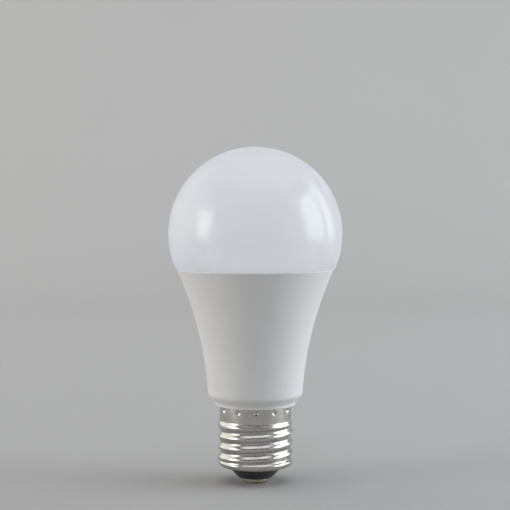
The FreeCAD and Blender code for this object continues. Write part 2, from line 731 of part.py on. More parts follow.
def led_ring(name, label, lens_label, count, turn, ring_r, long, wide):
    """Ring of LED packages with a recess each, and the lenses that fill the recesses."""
    package = new_body(name + "_body")
    outline = new_sketch(package, name + "_outline", "XY_Plane", "led_top_z")
    add_box(outline, f"{ring_r} - {long} / 2", f"{ring_r} + {long} / 2",
            f"-{wide} / 2", f"{wide} / 2")
    case = pad(package, name + "_case", outline, "led_height")
    recess = new_sketch(package, name + "_recess", "XY_Plane", "led_top_z + led_height")
    inner_long, inner_wide = f"({long} / 2 - led_rim)", f"({wide} / 2 - led_rim)"
    window = [f"{ring_r} - {inner_long}", f"{ring_r} + {inner_long}",
              f"-{inner_wide}", inner_wide]
    add_box(recess, *window)
    well = pocket(package, name + "_well", recess, "lens_depth")
    ring_pattern(package, name + "_ring", [case, well], count)

    lens = new_body(name + "_lens_body")
    lens_outline = new_sketch(lens, name + "_lens_outline", "XY_Plane",
                              "led_top_z + led_height - lens_depth")
    add_box(lens_outline, *window)
    drop = pad(lens, name + "_lens", lens_outline, "lens_depth")
    ring_pattern(lens, name + "_lens_ring", [drop], count)
    for body, body_label in ((package, label), (lens, lens_label)):
        bind(body, "Placement.Rotation.Angle", turn)
        node(body, body_label)


def board_screws():
    """Pan-head screws that clamp the LED board and the pad to the heat sink."""
    body = new_body("screw_body")
    profile = new_sketch(body, "screw_profile", "XZ_Plane")
    centre = "screw_ring_r"
    top = "led_top_z + head_height"
    axis = profile.addGeometry(
        Part.LineSegment(Vector(number(centre), number("ledge_z"), 0),
                         Vector(number(centre), number(top), 0)), True)
    hold(profile, axis, 1, centre, "ledge_z")
    hold(profile, axis, 2, centre, top)
    add_loop(profile, [
        (centre, top),
        (f"{centre} + head_r / 2", top),
        (f"{centre} + head_r", f"{top} - head_r / 2", "-head_r / 2"),
        (f"{centre} + head_r", "led_top_z"),
        (f"{centre} + screw_r", "led_top_z"),
        (f"{centre} + screw_r", "led_top_z + screw_point - screw_long"),
        (f"{centre} + screw_r - screw_point", "led_top_z - screw_long"),
        (centre, "led_top_z - screw_long"),
    ])
    turned = body.newObject("PartDesign::Revolution", "screw_turned")
    turned.Profile = profile
    turned.ReferenceAxis = (profile, ["Axis0"])
    turned.Angle = 360
    cross = new_sketch(body, "screw_cross", "XY_Plane", top)
    arm, half = "recess_arm", "recess_wide / 2"
    quarter = [(arm, f"-{half}"), (arm, half), (half, half)]
    corners = []
    for cosine, sine in ((1, 0), (0, 1), (-1, 0), (0, -1)):
        for x, y in quarter:
            corners.append((f"{centre} + ({cosine}) * ({x}) - ({sine}) * ({y})",
                            f"({sine}) * ({x}) + ({cosine}) * ({y})"))
    add_loop(cross, corners)
    recess = pocket(body, "screw_recess", cross, "recess_depth")
    ring_pattern(body, "screws", [turned, recess], "screw_count")
    bind(body, "Placement.Rotation.Angle", "270")
    return node(body, "board_screws")


def header():
    """Straight pins from the driver board up into a socket on the LED board."""
    pins = []
    bores = []
    wide = f"2 * {HEADER_HALF} + 2 * socket_margin"
    deep = "header_side + 2 * socket_margin"
    bore = "header_side + 2 * socket_fit"
    low = "driver_top - header_low"
    for index in range(round(number("header_pins"))):
        x = f"({index} - (header_pins - 1) / 2) * header_pitch"
        top = "led_top_z + socket_height - socket_cover"
        middle = f"({low} + {top}) / 2"
        pins.append(centred_box(f"header_pin_{index}", "header_side", "header_side",
                                f"{top} - ({low})", x, HEADER_Y, middle))
        bores.append(centred_box(f"socket_bore_{index}", bore, bore, "2 * socket_height",
                                 x, HEADER_Y, "led_top_z + socket_height / 2"))
    block = centred_box("socket_block", wide, deep, "socket_height",
                        "0", HEADER_Y, "led_top_z + socket_height / 2")
    node(group("header_pin_group", pins), "header_pins")
    node(cut("socket_cut", block, bores), "led_socket")


# --------------------------------------------------------------------------------------
# Screw cap and contact
# --------------------------------------------------------------------------------------
def cut_helix(body, name, start, rise, surface_r, depth, clear_r):
    """Roll a helical wave into a sleeve, from its surface to a depth (negative: outward).
    It is one pitch tall at the start and climbs from there by a number of turns."""
    land = "thread_land"
    middle_r = f"{surface_r} - ({depth}) / 2"
    size = "(crest_r - root_r)"
    root_arc = f"((pitch / 4)^2 + ({size} / 2)^2) / {size}"
    crest_arc = f"((pitch / 4 - {land})^2 + ({size} / 2)^2) / {size}"
    outward = number(depth) > 0
    crest_turn, root_turn = ("", "-") if outward else ("-", "")
    sketch = new_sketch(body, name + "_outline", "XZ_Plane")
    add_loop(sketch, [
        (clear_r, f"{start} + {land}"),
        (surface_r, f"{start} + {land}"),
        (middle_r, f"{start} + pitch / 4", crest_turn + f"({crest_arc})"),
        (middle_r, f"{start} + 3 * pitch / 4", root_turn + f"({root_arc})"),
        (surface_r, f"{start} + pitch - {land}", crest_turn + f"({crest_arc})"),
        (clear_r, f"{start} + pitch - {land}"),
    ])
    doc.recompute()
    before = body.Shape.Volume
    feature = body.newObject("PartDesign::SubtractiveHelix", name)
    feature.Profile = sketch
    feature.ReferenceAxis = (sketch, ["V_Axis"])
    feature.Mode = 0
    bind(feature, "Pitch", "pitch")
    bind(feature, "Height", f"pitch * ({rise})")
    doc.recompute()
    if body.Shape.Volume >= before:
        raise ValueError(f"{name} cuts nothing")
    return feature


def screw_shell():
    """Rolled E27 shell: plain crimped band, helical thread and a turned-in foot."""
    body = new_body("shell_body")
    foot_bend = "crest_r - shell_foot_r"
    revolve(body, "shell_sleeve", [
        ("band_bore_r", "cap_height"),
        ("band_r", "cap_height"),
        ("band_r", "band_z"),
        ("crest_r", "band_z - (crest_r - band_r)"),
        ("crest_r", f"shell_foot + {foot_bend}"),
        ("shell_foot_r", "shell_foot", f"-({foot_bend})"),
        ("shell_hole_r", "shell_foot"),
        ("shell_hole_r", "shell_floor"),
        ("bore_root_r", "shell_floor"),
        ("bore_root_r", "band_z - shell_wall"),
        ("band_bore_r", "band_z"),
    ])
    cut_helix(body, "thread", "thread_start", "thread_turns - 1",
              "crest_r", "crest_r - root_r", "crest_r + 10 * overcut")
    cut_helix(body, "thread_inside", "thread_start + pitch / 2", "thread_turns - 2",
              "bore_root_r", "root_r - crest_r", "bore_root_r - 10 * overcut")

    bump = new_sketch(body, "crimp_bump_outline", "XZ_Plane", "-(band_bore_r + overcut)")
    add_circle(bump, "0", "crimp_z", "crimp_r + shell_wall")
    bulge = pad(body, "crimp_bump", bump, "crimp_depth + overcut")
    dimple = new_sketch(body, "crimp_outline", "XZ_Plane", "-(band_r + overcut)")
    add_circle(dimple, "0", "crimp_z", "crimp_r")
    punch = pocket(body, "crimp", dimple, "crimp_depth + overcut", forward=True)
    ring_pattern(body, "crimps", [bulge, punch], "crimp_count")
    bind(body, "Placement.Rotation.Angle", "crimp_turn")
    return node(body, "screw_shell")


def cap_insulator():
    """Black insulator between the shell and the centre contact."""
    body = new_body("insulator_body")
    revolve(body, "insulator", [
        ("pin_r", "contact_wall"),
        ("contact_r - contact_round - insulator_fit", "contact_wall"),
        ("contact_r - contact_wall - insulator_fit", "contact_round"),
        ("contact_r - contact_wall - insulator_fit", "cone_z"),
        ("cone_r", "cone_z"),
        ("insulator_r", "shell_foot - insulator_fit"),
        ("insulator_r", "shell_floor"),
        ("insulator_rim_r", "shell_floor"),
        ("insulator_rim_r", "insulator_top"),
        ("insulator_r - insulator_skin", "insulator_top"),
        ("hub_r + insulator_skin", "cone_z + insulator_skin"),
        ("hub_r", "cone_z + insulator_skin"),
        ("hub_r", "hub_height"),
        ("pin_r", "hub_height"),
    ])
    return node(body, "cap_insulator")


def centre_contact():
    """Pressed contact cup; its flat face lies at height zero."""
    body = new_body("contact_body")
    inner_round = "contact_round - contact_wall"
    revolve(body, "contact", [
        ("0", "0"),
        ("contact_r - contact_round", "0"),
        ("contact_r", "contact_round", "contact_round"),
        ("contact_r", "contact_height"),
        ("contact_r - contact_wall", "contact_height"),
        ("contact_r - contact_wall", "contact_round"),
        ("contact_r - contact_round", "contact_wall", f"-({inner_round})"),
        ("0", "contact_wall"),
    ])
    return node(body, "centre_contact")


def contact_pin():
    """Pin through the insulator's hub; its collar sits on the hub."""
    body = new_body("pin_body")
    revolve(body, "pin", [
        ("0", "contact_wall"),
        ("pin_r", "contact_wall"),
        ("pin_r", "hub_height"),
        ("pin_r + collar_reach", "hub_height"),
        ("pin_r + collar_reach", "hub_height + collar_height"),
        ("pin_r", "hub_height + collar_height"),
        ("pin_r", "pin_top"),
        ("0", "pin_top"),
    ])
    return node(body, "contact_pin")


def cap_leads():
    """Insulated live lead to the pin, and the bare neutral lead folded round the neck."""
    live_y = "live_r - driver_front"
    node(wires("live_wire", [[
        ("0", "0", "pin_top"),
        ("0", "0", "pin_top + live_rise"),
        ("0", live_y, "driver_low + live_turn"),
        ("0", live_y, "driver_low + live_joint"),
    ]], "live_r", "live_bend"), "live_lead")
    neutral_y = "-driver_back - wire_r"
    inside = "driver_half_low - rail - 3 * wire_r"
    outside = "neck_r - notch_depth + wire_r + wire_lift"
    turn_z = "(neck_z + insulator_top) / 2"
    node(wires("neutral_wire", [[
        (inside, neutral_y, "driver_low + wire_joint"),
        (inside, neutral_y, turn_z),
        (outside, neutral_y, turn_z),
        (outside, neutral_y, "band_z - wire_end"),
    ]], "wire_r", "wire_bend"), "neutral_lead")


# --------------------------------------------------------------------------------------
# Driver board and its components.  Places on the board are (x, height).
# --------------------------------------------------------------------------------------
def up(rise):
    """Height of a place given on the layout's run, spread over the board's real run."""
    return f"floor_z + ({rise}) * driver_spread"


CAPACITORS = [
    # name, x, height of its low end, seal upward
    ("input", "0", "floor_z - input_sink - can_long", True),
    ("output", "output_x", up("output_up"), False),
]
TRANSFORMER = ("transformer_x", up("transformer_up"))
BOBBIN_MARGIN = "((core_wide - core_leg - 2 * core_yoke) / 2 - bobbin_fit)"
BOBBIN_DEEP = f"(core_deep + 2 * {BOBBIN_MARGIN})"
TRANSFORMER_Y = f"({BOBBIN_DEEP} / 2 + part_gap - driver_front)"
CHOKE = ("choke_x", up("choke_up"))
VARISTOR = ("varistor_x", up("varistor_up"))
FUSE = ("fuse_x", "driver_low + fuse_up")
UNDER_RADIO_PINS = "radio_z + radio_pin_up - lead_r - part_gap"
FILM_CAPACITOR = ("film_x", f"min({up('film_up')}; {UNDER_RADIO_PINS} - film_tall / 2)")


def transformer_pin_places():
    x, z = TRANSFORMER
    return [
        (f"{x} + ({side}) * core_leg", f"{z} + ({rise}) * core_tall * pin_rise")
        for side in (-1, 1)
        for rise in (-1, 1)
    ]


def short_lead_places(place):
    """The two leads of a part that stands on short straight leads."""
    x, z = place
    return [(f"{x} + ({side}) * short_pitch / 2", z) for side in (-1, 1)]


def through_holes():
    """Places of every lead that passes through the driver board."""
    places = transformer_pin_places()
    for _, x, low, seal_up in CAPACITORS:
        end = f"{low} + can_long + can_lead_out" if seal_up else f"{low} - can_lead_out"
        for side in (-1, 1):
            places.append((f"{x} + ({side}) * can_pitch / 2", end))
    for place in (CHOKE, VARISTOR, FILM_CAPACITOR):
        places += short_lead_places(place)
    x, z = FUSE
    for rise in (-1, 1):
        places.append((x, f"{z} + ({rise}) * fuse_pitch / 2"))
    return places


def driver_board():
    """T-shaped board: its tongue slides in the neck's rails, its shoulders rest on the floor."""
    body = new_body("driver_body")
    sketch = new_sketch(body, "driver_outline", "XZ_Plane", "driver_front")
    add_loop(sketch, [
        ("-driver_half_low", "driver_low"),
        ("driver_half_low", "driver_low"),
        ("driver_half_low", "floor_z"),
        ("driver_half", "floor_z"),
        ("driver_half", "driver_top"),
        ("-driver_half", "driver_top"),
        ("-driver_half", "floor_z"),
        ("-driver_half_low", "floor_z"),
    ])
    for x, z in through_holes():
        add_circle(sketch, x, z, "lead_r + hole_gap")
    pad(body, "driver_plate", sketch, "driver_board")
    return node(body, "driver_board")


def capacitors():
    """Electrolytic cans in shrunk sleeves, with rubber plugs and bent leads."""
    leads = []
    for name, x, low, seal_up in CAPACITORS:
        high = f"{low} + can_long"
        case = rod(f"{name}_case", "can_r - can_sleeve", "can_long", x, "can_y", low)
        end = f"{high} - can_seal" if seal_up else low
        seat = rod(f"{name}_seat", "can_r - 3 * can_sleeve", "can_seal", x, "can_y", end)
        plug = rod(f"{name}_plug", "can_r - 3 * can_sleeve", "can_seal", x, "can_y", end)
        node(cut(f"{name}_can", case, [seat]), f"{name}_capacitor_can")
        node(plug, f"{name}_capacitor_plug")
        sleeve_low = f"{low} - can_sleeve" if seal_up else low
        outer = rod(f"{name}_sleeve_outer", "can_r", "can_long + can_sleeve",
                    x, "can_y", sleeve_low)
        inner = rod(f"{name}_sleeve_inner", "can_r - can_sleeve", "can_long",
                    x, "can_y", low)
        mouth = rod(f"{name}_sleeve_mouth", "can_open", "3 * can_long",
                    x, "can_y", f"{low} - can_long")
        node(cut(f"{name}_sleeve", outer, [inner, mouth]), f"{name}_capacitor_sleeve")
        start = high if seal_up else low
        turn = f"{high} + can_lead_out" if seal_up else f"{low} - can_lead_out"
        for side in (-1, 1):
            lead_x = f"{x} + ({side}) * can_pitch / 2"
            leads.append([
                (lead_x, "can_y", start),
                (lead_x, "can_y", turn),
                (lead_x, "-driver_back - lead_tail", turn),
            ])
    node(wires("capacitor_wires", leads, "lead_r", "lead_bend"), "capacitor_leads")


def transformer():
    """Small flyback transformer: ferrite core, bobbin, winding and pins."""
    x, z = TRANSFORMER
    y = TRANSFORMER_Y
    window_wide = "(core_wide - core_leg - 2 * core_yoke) / 2"
    window_tall = "core_tall - 2 * core_yoke"
    window_x = f"(core_leg + {window_wide}) / 2"
    block = centred_box("core_block", "core_wide", "core_deep", "core_tall", x, y, z)
    windows = [
        centred_box(f"core_window_{index}", window_wide, "2 * core_deep", window_tall,
                    f"{x} + ({side}) * ({window_x})", y, z)
        for index, side in enumerate((-1, 1))
    ]
    node(cut("core", block, windows), "transformer_core")

    bore_wide = "core_leg + 2 * bobbin_fit"
    bore_deep = "core_deep + 2 * bobbin_fit"
    tube_wide = f"{bore_wide} + 2 * bobbin_wall"
    tube_deep = f"{bore_deep} + 2 * bobbin_wall"
    tall = f"{window_tall} - 2 * bobbin_fit"
    flange_wide = f"(core_leg + 2 * {BOBBIN_MARGIN})"
    flange_deep = BOBBIN_DEEP
    tube = centred_box("bobbin_tube", tube_wide, tube_deep, tall, x, y, z)
    flanges = [
        centred_box(f"bobbin_flange_{index}", flange_wide, flange_deep, "bobbin_flange", x, y,
                    f"{z} + ({side}) * (({tall}) - bobbin_flange) / 2")
        for index, side in enumerate((-1, 1))
    ]
    bore = centred_box("bobbin_bore", bore_wide, bore_deep, "2 * core_tall", x, y, z)
    node(cut("bobbin", fuse("bobbin_solid", [tube] + flanges), [bore]), "transformer_bobbin")

    coil_tall = f"{tall} - 2 * bobbin_flange"
    coil = centred_box("coil_block", f"{flange_wide} - 2 * winding_fit",
                       f"{flange_deep} - 2 * winding_fit", coil_tall, x, y, z)
    coil_bore = centred_box("coil_bore", tube_wide, tube_deep, "2 * core_tall", x, y, z)
    node(cut("coil", coil, [coil_bore]), "transformer_winding")

    back = f"{y} - ({flange_deep}) / 2"
    pin_long = f"{back} + driver_back + lead_tail"
    pins = []
    for index, (pin_x, pin_z) in enumerate(transformer_pin_places()):
        pins.append(rod(f"transformer_pin_{index}", "lead_r", pin_long,
                        pin_x, "-driver_back - lead_tail", pin_z, along="y"))
    node(group("transformer_pin_group", pins), "transformer_pins")


def choke():
    """Drum choke on the back of the driver board."""
    x, z = CHOKE
    near = "-driver_back - part_gap"
    profile = [
        rod("choke_middle", "choke_core_r", "choke_long", x, f"{near} - choke_long", z, "y"),
        rod("choke_far", "choke_r", "choke_flange", x, f"{near} - choke_long", z, "y"),
        rod("choke_near", "choke_r", "choke_flange", x, f"{near} - choke_flange", z, "y"),
    ]
    node(fuse("choke_drum", profile), "choke_core")
    coil_long = "choke_long - 2 * choke_flange"
    low = f"{near} - choke_long + choke_flange"
    coil = rod("choke_coil", "choke_r - winding_fit", coil_long, x, low, z, "y")
    bore = rod("choke_coil_bore", "choke_core_r", coil_long, x, low, z, "y")
    node(cut("choke_coil_ring", coil, [bore]), "choke_winding")


def leaded_parts():
    """Varistor disc, film capacitor and sleeved fusible resistor, and their leads."""
    x, z = VARISTOR
    node(rod("varistor_disc", "varistor_r", "varistor_deep", x,
             "part_gap - driver_front", z, "y"), "varistor")
    x, z = FILM_CAPACITOR
    node(centred_box("film_block", "film_wide", "film_deep", "film_tall", x,
                     "film_deep / 2 + part_gap - driver_front", z), "film_capacitor")
    long = "driver_board + lead_tail + part_gap"
    leads = []
    for place in (VARISTOR, FILM_CAPACITOR):
        for x, z in short_lead_places(place):
            leads.append(rod(f"short_lead_{len(leads)}", "lead_r", long,
                             x, "-driver_back - lead_tail", z, "y"))
    for x, z in short_lead_places(CHOKE):
        leads.append(rod(f"short_lead_{len(leads)}", "lead_r", long,
                         x, "-driver_back - part_gap", z, "y"))
    node(group("short_leads", leads), "component_leads")

    x, z = FUSE
    y = "-driver_back - fuse_back"
    cover_low = f"{z} - fuse_cover_long / 2"
    node(rod("fuse_body", "fuse_r", "fuse_long", x, y, f"{z} - fuse_long / 2"),
         "fusible_resistor")
    cover = rod("fuse_cover", "fuse_cover_r", "fuse_cover_long", x, y, cover_low)
    bore = rod("fuse_cover_bore", "fuse_r", "fuse_cover_long", x, y, cover_low)
    node(cut("fuse_sleeve", cover, [bore]), "resistor_sleeve")
    node(wires("fuse_wires", [
        [
            (x, y, f"{z} + ({rise}) * fuse_long / 2"),
            (x, y, f"{z} + ({rise}) * fuse_pitch / 2"),
            (x, "lead_tail - driver_front", f"{z} + ({rise}) * fuse_pitch / 2"),
        ]
        for rise in (-1, 1)
    ], "lead_r", "lead_bend"), "resistor_leads")


def back_box(name, wide, deep, tall, x, z, stand="0"):
    """Box that stands on the back of the driver board, or a little off it."""
    return centred_box(name, wide, deep, tall, x, f"-driver_back - {stand} - {deep} / 2", z)


def surface_parts():
    """Rectifier, control chip, diodes, chip resistors and chip capacitors, all on the back."""
    rectifier_z, control_z = up("rectifier_up"), up("control_up")
    node(back_box("rectifier_case", "rectifier_wide", "rectifier_deep", "chip_tall",
                  "chip_x", rectifier_z, "rectifier_stand"), "bridge_rectifier")
    node(back_box("chip_case", "control_wide", "control_deep", "chip_tall",
                  "chip_x", control_z, "control_stand"), "control_chip")
    legs = []
    for part_z, count in ((rectifier_z, 2), (control_z, 4)):
        for side in (-1, 1):
            for index in range(count):
                x = f"chip_x + ({index} - ({count} - 1) / 2) * leg_pitch * 4 / {count}"
                legs.append(back_box(f"leg_{len(legs)}", "leg_wide", "leg_thick", "leg_long",
                                     x, f"{part_z} + ({side}) * leg_reach"))
    node(group("leg_group", legs), "chip_legs")
    node(group("diode_group", [
        back_box(f"diode_{index}", "diode_wide", "diode_deep", "diode_tall",
                 "diode_x", up(f"diode_up + {index} * diode_step"))
        for index in range(2)
    ]), "diodes")
    node(group("resistor_group", [
        back_box(f"chip_resistor_{index}", "resistor_wide", "resistor_deep", "resistor_tall",
                 f"resistor_x + {index % 3} * resistor_step",
                 f"driver_top - resistor_drop - {index // 3} * resistor_row")
        for index in range(9)
    ]), "chip_resistors")
    node(group("chip_capacitor_group", [
        back_box(f"chip_capacitor_{index}", "ceramic_wide", "ceramic_deep", "ceramic_tall",
                 f"ceramic_x + {index % 2} * ceramic_step",
                 up(f"ceramic_up + {index // 2} * ceramic_row"))
        for index in range(4)
    ]), "chip_capacitors")


def radio_module():
    """Wireless board standing through the LED board, its antenna above the LEDs."""
    top = "led_top_z + radio_above"
    tall = f"{top} - radio_z"
    front = "(radio_y + radio_board / 2)"
    back = "(radio_y - radio_board / 2)"
    node(box("radio_plate", "radio_wide", "radio_board", tall,
             "-radio_wide / 2", back, "radio_z"), "radio_board")
    node(box("radio_shield", "shield_wide", "shield_deep", "shield_tall",
             "-shield_wide / 2", front, "radio_z + shield_up"), "radio_shield")
    pieces = []
    for index in range(round(number("antenna_turns"))):
        z = f"{top} - antenna_margin - trace_wide - {index} * antenna_step"
        pieces.append(box(f"antenna_bar_{index}", "antenna_wide", "trace_thick", "trace_wide",
                          "-antenna_wide / 2", front, z))
        side = "-antenna_wide / 2" if index % 2 else "antenna_wide / 2 - trace_wide"
        pieces.append(box(f"antenna_link_{index}", "trace_wide", "trace_thick",
                          "antenna_step", side, front, f"{z} - antenna_step"))
    node(fuse("antenna", pieces), "radio_antenna")
    pins = []
    for index in range(round(number("radio_pins"))):
        x = f"({index} - (radio_pins - 1) / 2) * radio_pin_pitch"
        pins.append(rod(f"radio_pin_{index}", "lead_r", f"{back} + driver_front",
                        x, "-driver_front", "radio_z + radio_pin_up", "y"))
    node(group("radio_pin_group", pins), "radio_pins")


# --------------------------------------------------------------------------------------
# The assembly
# --------------------------------------------------------------------------------------
diffuser_dome()
dome_sealant()
housing_shell()
heat_sink_cup()
round_plate("pad_disc", "thermal_pad", "led_board_r", "ledge_z", "pad")
round_plate("led_plate", "led_board", "led_board_r", "led_board_z", "led_board")
led_ring("warm", "warm_white_leds", "warm_white_lenses", "white_count",
         "0", "white_ring_r", "white_long", "white_wide")
led_ring("cool", "cool_white_leds", "cool_white_lenses", "white_count",
         "180 / white_count", "white_ring_r", "white_long", "white_wide")
led_ring("colour", "colour_leds", "colour_lenses", "colour_count",
         "0", "colour_ring_r", "colour_side", "colour_side")
board_screws()
header()
screw_shell()
cap_insulator()
centre_contact()
contact_pin()
cap_leads()
driver_board()
capacitors()
transformer()
choke()
leaded_parts()
surface_parts()
radio_module()

doc.recompute()
for item in doc.Objects:
    if "Invalid" in item.State or "Error" in item.State:
        raise ValueError(f"{item.Name} failed: {item.State}")
for item in nodes:
    if item.Shape.isNull() or not item.Shape.isValid() or not item.Shape.Solids:
        raise ValueError(f"{item.Label} has no valid solid")

os.makedirs("parts", exist_ok=True)
for item in nodes:
    item.Shape.exportStep(f"parts/{item.Label}.step")
    print(f"{item.Label}: {len(item.Shape.Solids)} solids, {item.Shape.Volume:.1f} mm3")
print(len(nodes), "sub-parts")
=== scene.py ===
"""Looks of the smart light bulb: opal globe, white housing and E27 screw cap, on a pale sweep.

Metres in the part's own frame; profiles are written in millimetres as (radius, height).
"""

import math

import bpy
import numpy as np
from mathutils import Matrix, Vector


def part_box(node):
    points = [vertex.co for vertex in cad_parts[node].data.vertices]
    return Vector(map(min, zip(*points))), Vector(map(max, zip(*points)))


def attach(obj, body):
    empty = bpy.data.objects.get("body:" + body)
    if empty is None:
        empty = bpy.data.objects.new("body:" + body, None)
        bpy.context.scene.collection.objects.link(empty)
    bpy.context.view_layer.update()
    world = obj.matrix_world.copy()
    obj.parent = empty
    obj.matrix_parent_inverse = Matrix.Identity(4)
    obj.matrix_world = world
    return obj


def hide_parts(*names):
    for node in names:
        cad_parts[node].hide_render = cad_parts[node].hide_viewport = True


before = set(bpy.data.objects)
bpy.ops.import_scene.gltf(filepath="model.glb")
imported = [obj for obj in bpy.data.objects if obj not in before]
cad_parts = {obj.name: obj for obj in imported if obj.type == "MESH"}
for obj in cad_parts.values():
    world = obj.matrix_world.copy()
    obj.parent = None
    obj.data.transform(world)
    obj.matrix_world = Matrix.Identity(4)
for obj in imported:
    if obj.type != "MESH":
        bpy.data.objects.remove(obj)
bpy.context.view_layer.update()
MM = 0.001


# --------------------------------------------------------------------------------------
# Sizes, in millimetres: read from the frame where it has them
# --------------------------------------------------------------------------------------
def box_mm(node):
    low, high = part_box(node)
    return low / MM, high / MM


dome_low, dome_high = box_mm("diffuser_dome")
housing_low, housing_high = box_mm("housing_shell")
shell_low, shell_high = box_mm("screw_shell")
insulator_low, insulator_high = box_mm("cap_insulator")
contact_low, contact_high = box_mm("centre_contact")
bead_low, bead_high = box_mm("dome_sealant")

GLOBE_TOP = dome_high.z
GLOBE_R = round(dome_high.x, 1)
GLOBE_Z = GLOBE_TOP - GLOBE_R
GLOBE_WALL = 1.5
SPIGOT_END = dome_low.z
SPIGOT_R = bead_high.x
SPIGOT_WALL = 1.3
SEAM_Z = housing_high.z
SEAM_R = math.sqrt(GLOBE_R ** 2 - (GLOBE_Z - SEAM_Z) ** 2)
SEAM_ROUND = 0.3
SEAM_STEP = 0.35
SHOULDER = 1.5
SPIGOT_FIT = 0.15
SPIGOT_CHAMFER = 0.2

MOUTH_R = SEAM_R - SEAM_STEP
BORE_R = SPIGOT_R + SPIGOT_FIT
LEDGE_Z = bead_low.z
FLANK_R = 123.6
FOOT_R = 16.35
FOOT_ROUND = 2.0
LIP_R = 13.95
LIP_HEIGHT = 1.0
LIP_ROUND = 0.22
CAP_HEIGHT = shell_high.z
FOOT_Z = CAP_HEIGHT + LIP_HEIGHT + FOOT_R - LIP_R
HOUSING_WALL = 1.6
FLOOR_WALL = 3.2
FLOOR_Z = CAP_HEIGHT + FLOOR_WALL
NECK_Z = housing_low.z
NECK_R = 11.5
NECK_WALL = 1.5

CREST_R = 13.1
ROOT_R = 12.2
PITCH = 3.629
THREAD_START = 6.9
THREAD_LOW = 7.2
THREAD_HIGH = 20.9
THREAD_FADE = 1.5
BAND_R = 12.5
BAND_Z = 21.5
SWELL_TOP = BAND_Z + 0.3
SWELL_LOW = BAND_Z - 1.2
SHELL_FOOT = shell_low.z
SHELL_WALL = 0.45
SHELL_HOLE_R = 10.2
HOLE_EDGE = 0.15
FOOT_BEND = 1.8
CRIMP_DROP = 1.4
CRIMP_Z = CAP_HEIGHT - CRIMP_DROP
CRIMP_R = 0.85
CRIMP_DEPTH = 0.475
CRIMP_COUNT = 12
CRIMP_TURN = math.radians(1.5)

CASING_COLUMNS = 256
CAP_COLUMNS = 384

CONTACT_R = contact_high.x
CONTACT_HEIGHT = contact_high.z
CONTACT_WALL = 0.4
CONTACT_ROUND = 0.8
CONTACT_EDGE = 0.08
CONTACT_FLAT = 2.6
CONTACT_DIMPLE = [(0.0, 0.16), (0.45, 0.15), (0.8, 0.08), (1.05, 0.0)]

INSULATOR_FIT = 0.15
INSULATOR_STEP = 0.9
INSULATOR_FLANGE = 1.1
INSULATOR_WALL = 1.5
INSULATOR_GROOVE = [(-0.35, -0.35), (-0.12, 0.05), (0.2, 0.36)]
FUNNEL_R = 4.5
HUB_R = 3.0
HUB_BORE_R = 0.9


# --------------------------------------------------------------------------------------
# Turned meshes
# --------------------------------------------------------------------------------------
def arc(centre, radius, start_deg, end_deg, steps):
    """Points of an arc round a centre, in the plane of radius and height."""
    angles = np.radians(np.linspace(start_deg, end_deg, steps))
    return [(centre[0] + radius * math.cos(a), centre[1] + radius * math.sin(a)) for a in angles]


def line(start, end, steps):
    """Points of a straight run, without its last point."""
    return [tuple(p) for p in np.linspace(start, end, steps, endpoint=False)]


def fillet(before, corner, after, radius, steps=8):
    """Arc that rounds a corner between two straight runs."""
    corner = Vector(corner)
    into = (corner - Vector(before)).normalized()
    out = (Vector(after) - corner).normalized()
    turn = into.angle(out)
    reach = radius * math.tan(turn / 2)
    inward = (out - into).normalized()
    centre = corner + inward * (radius / math.cos(turn / 2))
    first = corner - into * reach - centre
    last = corner + out * reach - centre
    points = []
    for share in np.linspace(0, 1, steps):
        spoke = first.slerp(last, share) if turn > 1e-4 else first
        points.append(tuple(centre + spoke * radius))
    return points


def lathe(name, profile, columns, closed=True, shape=None, sharp_deg=40):
    """Mesh turned about the lamp's axis from (radius, height) points in millimetres.

    Points on the axis become one vertex.  shape(radius, height, angle, row) may move a ring."""
    verts = []
    rings = []
    for row, (radius, height) in enumerate(profile):
        if radius < 1e-6:
            rings.append([len(verts)])
            verts.append((0.0, 0.0, height * MM))
            continue
        start = len(verts)
        for column in range(columns):
            angle = 2 * math.pi * column / columns
            r, z = shape(radius, height, angle, row) if shape else (radius, height)
            verts.append((r * MM * math.cos(angle), r * MM * math.sin(angle), z * MM))
        rings.append(list(range(start, start + columns)))
    faces = []
    last = len(rings) if closed else len(rings) - 1
    for row in range(last):
        one, two = rings[row], rings[(row + 1) % len(rings)]
        if len(one) == 1 and len(two) == 1:
            continue
        for column in range(columns):
            following = (column + 1) % columns
            if len(one) == 1:
                faces.append((one[0], two[column], two[following]))
            elif len(two) == 1:
                faces.append((one[column], two[0], one[following]))
            else:
                faces.append((one[column], two[column], two[following], one[following]))
    mesh = bpy.data.meshes.new(name)
    mesh.from_pydata(verts, [], faces)
    mesh.validate()
    piece = bpy.data.objects.new(name, mesh)
    bpy.context.scene.collection.objects.link(piece)
    mesh.shade_smooth()
    mesh.set_sharp_from_angle(angle=math.radians(sharp_deg))
    face_outward(mesh)
    return piece


def face_outward(mesh):
    """Turn all faces outward: a closed mesh whose volume comes out negative is inside out."""
    co = np.empty(len(mesh.vertices) * 3)
    mesh.vertices.foreach_get("co", co)
    co = co.reshape(-1, 3)
    mesh.calc_loop_triangles()
    tris = np.empty(len(mesh.loop_triangles) * 3, int)
    mesh.loop_triangles.foreach_get("vertices", tris)
    tris = tris.reshape(-1, 3)
    a, b, c = co[tris[:, 0]], co[tris[:, 1]], co[tris[:, 2]]
    if np.einsum("ij,ij->i", a, np.cross(b, c)).sum() < 0:
        mesh.flip_normals()


def stand_for(piece, node, slot, *materials):
    """Put a piece in a CAD node's place, with its looks. The slot argument is not used."""
    for material in materials:
        piece.data.materials.append(material)
    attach(piece, "root")
    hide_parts(node)


# --------------------------------------------------------------------------------------
# Materials
# --------------------------------------------------------------------------------------
NOISE_LOW = 0.3
NOISE_HIGH = 0.7

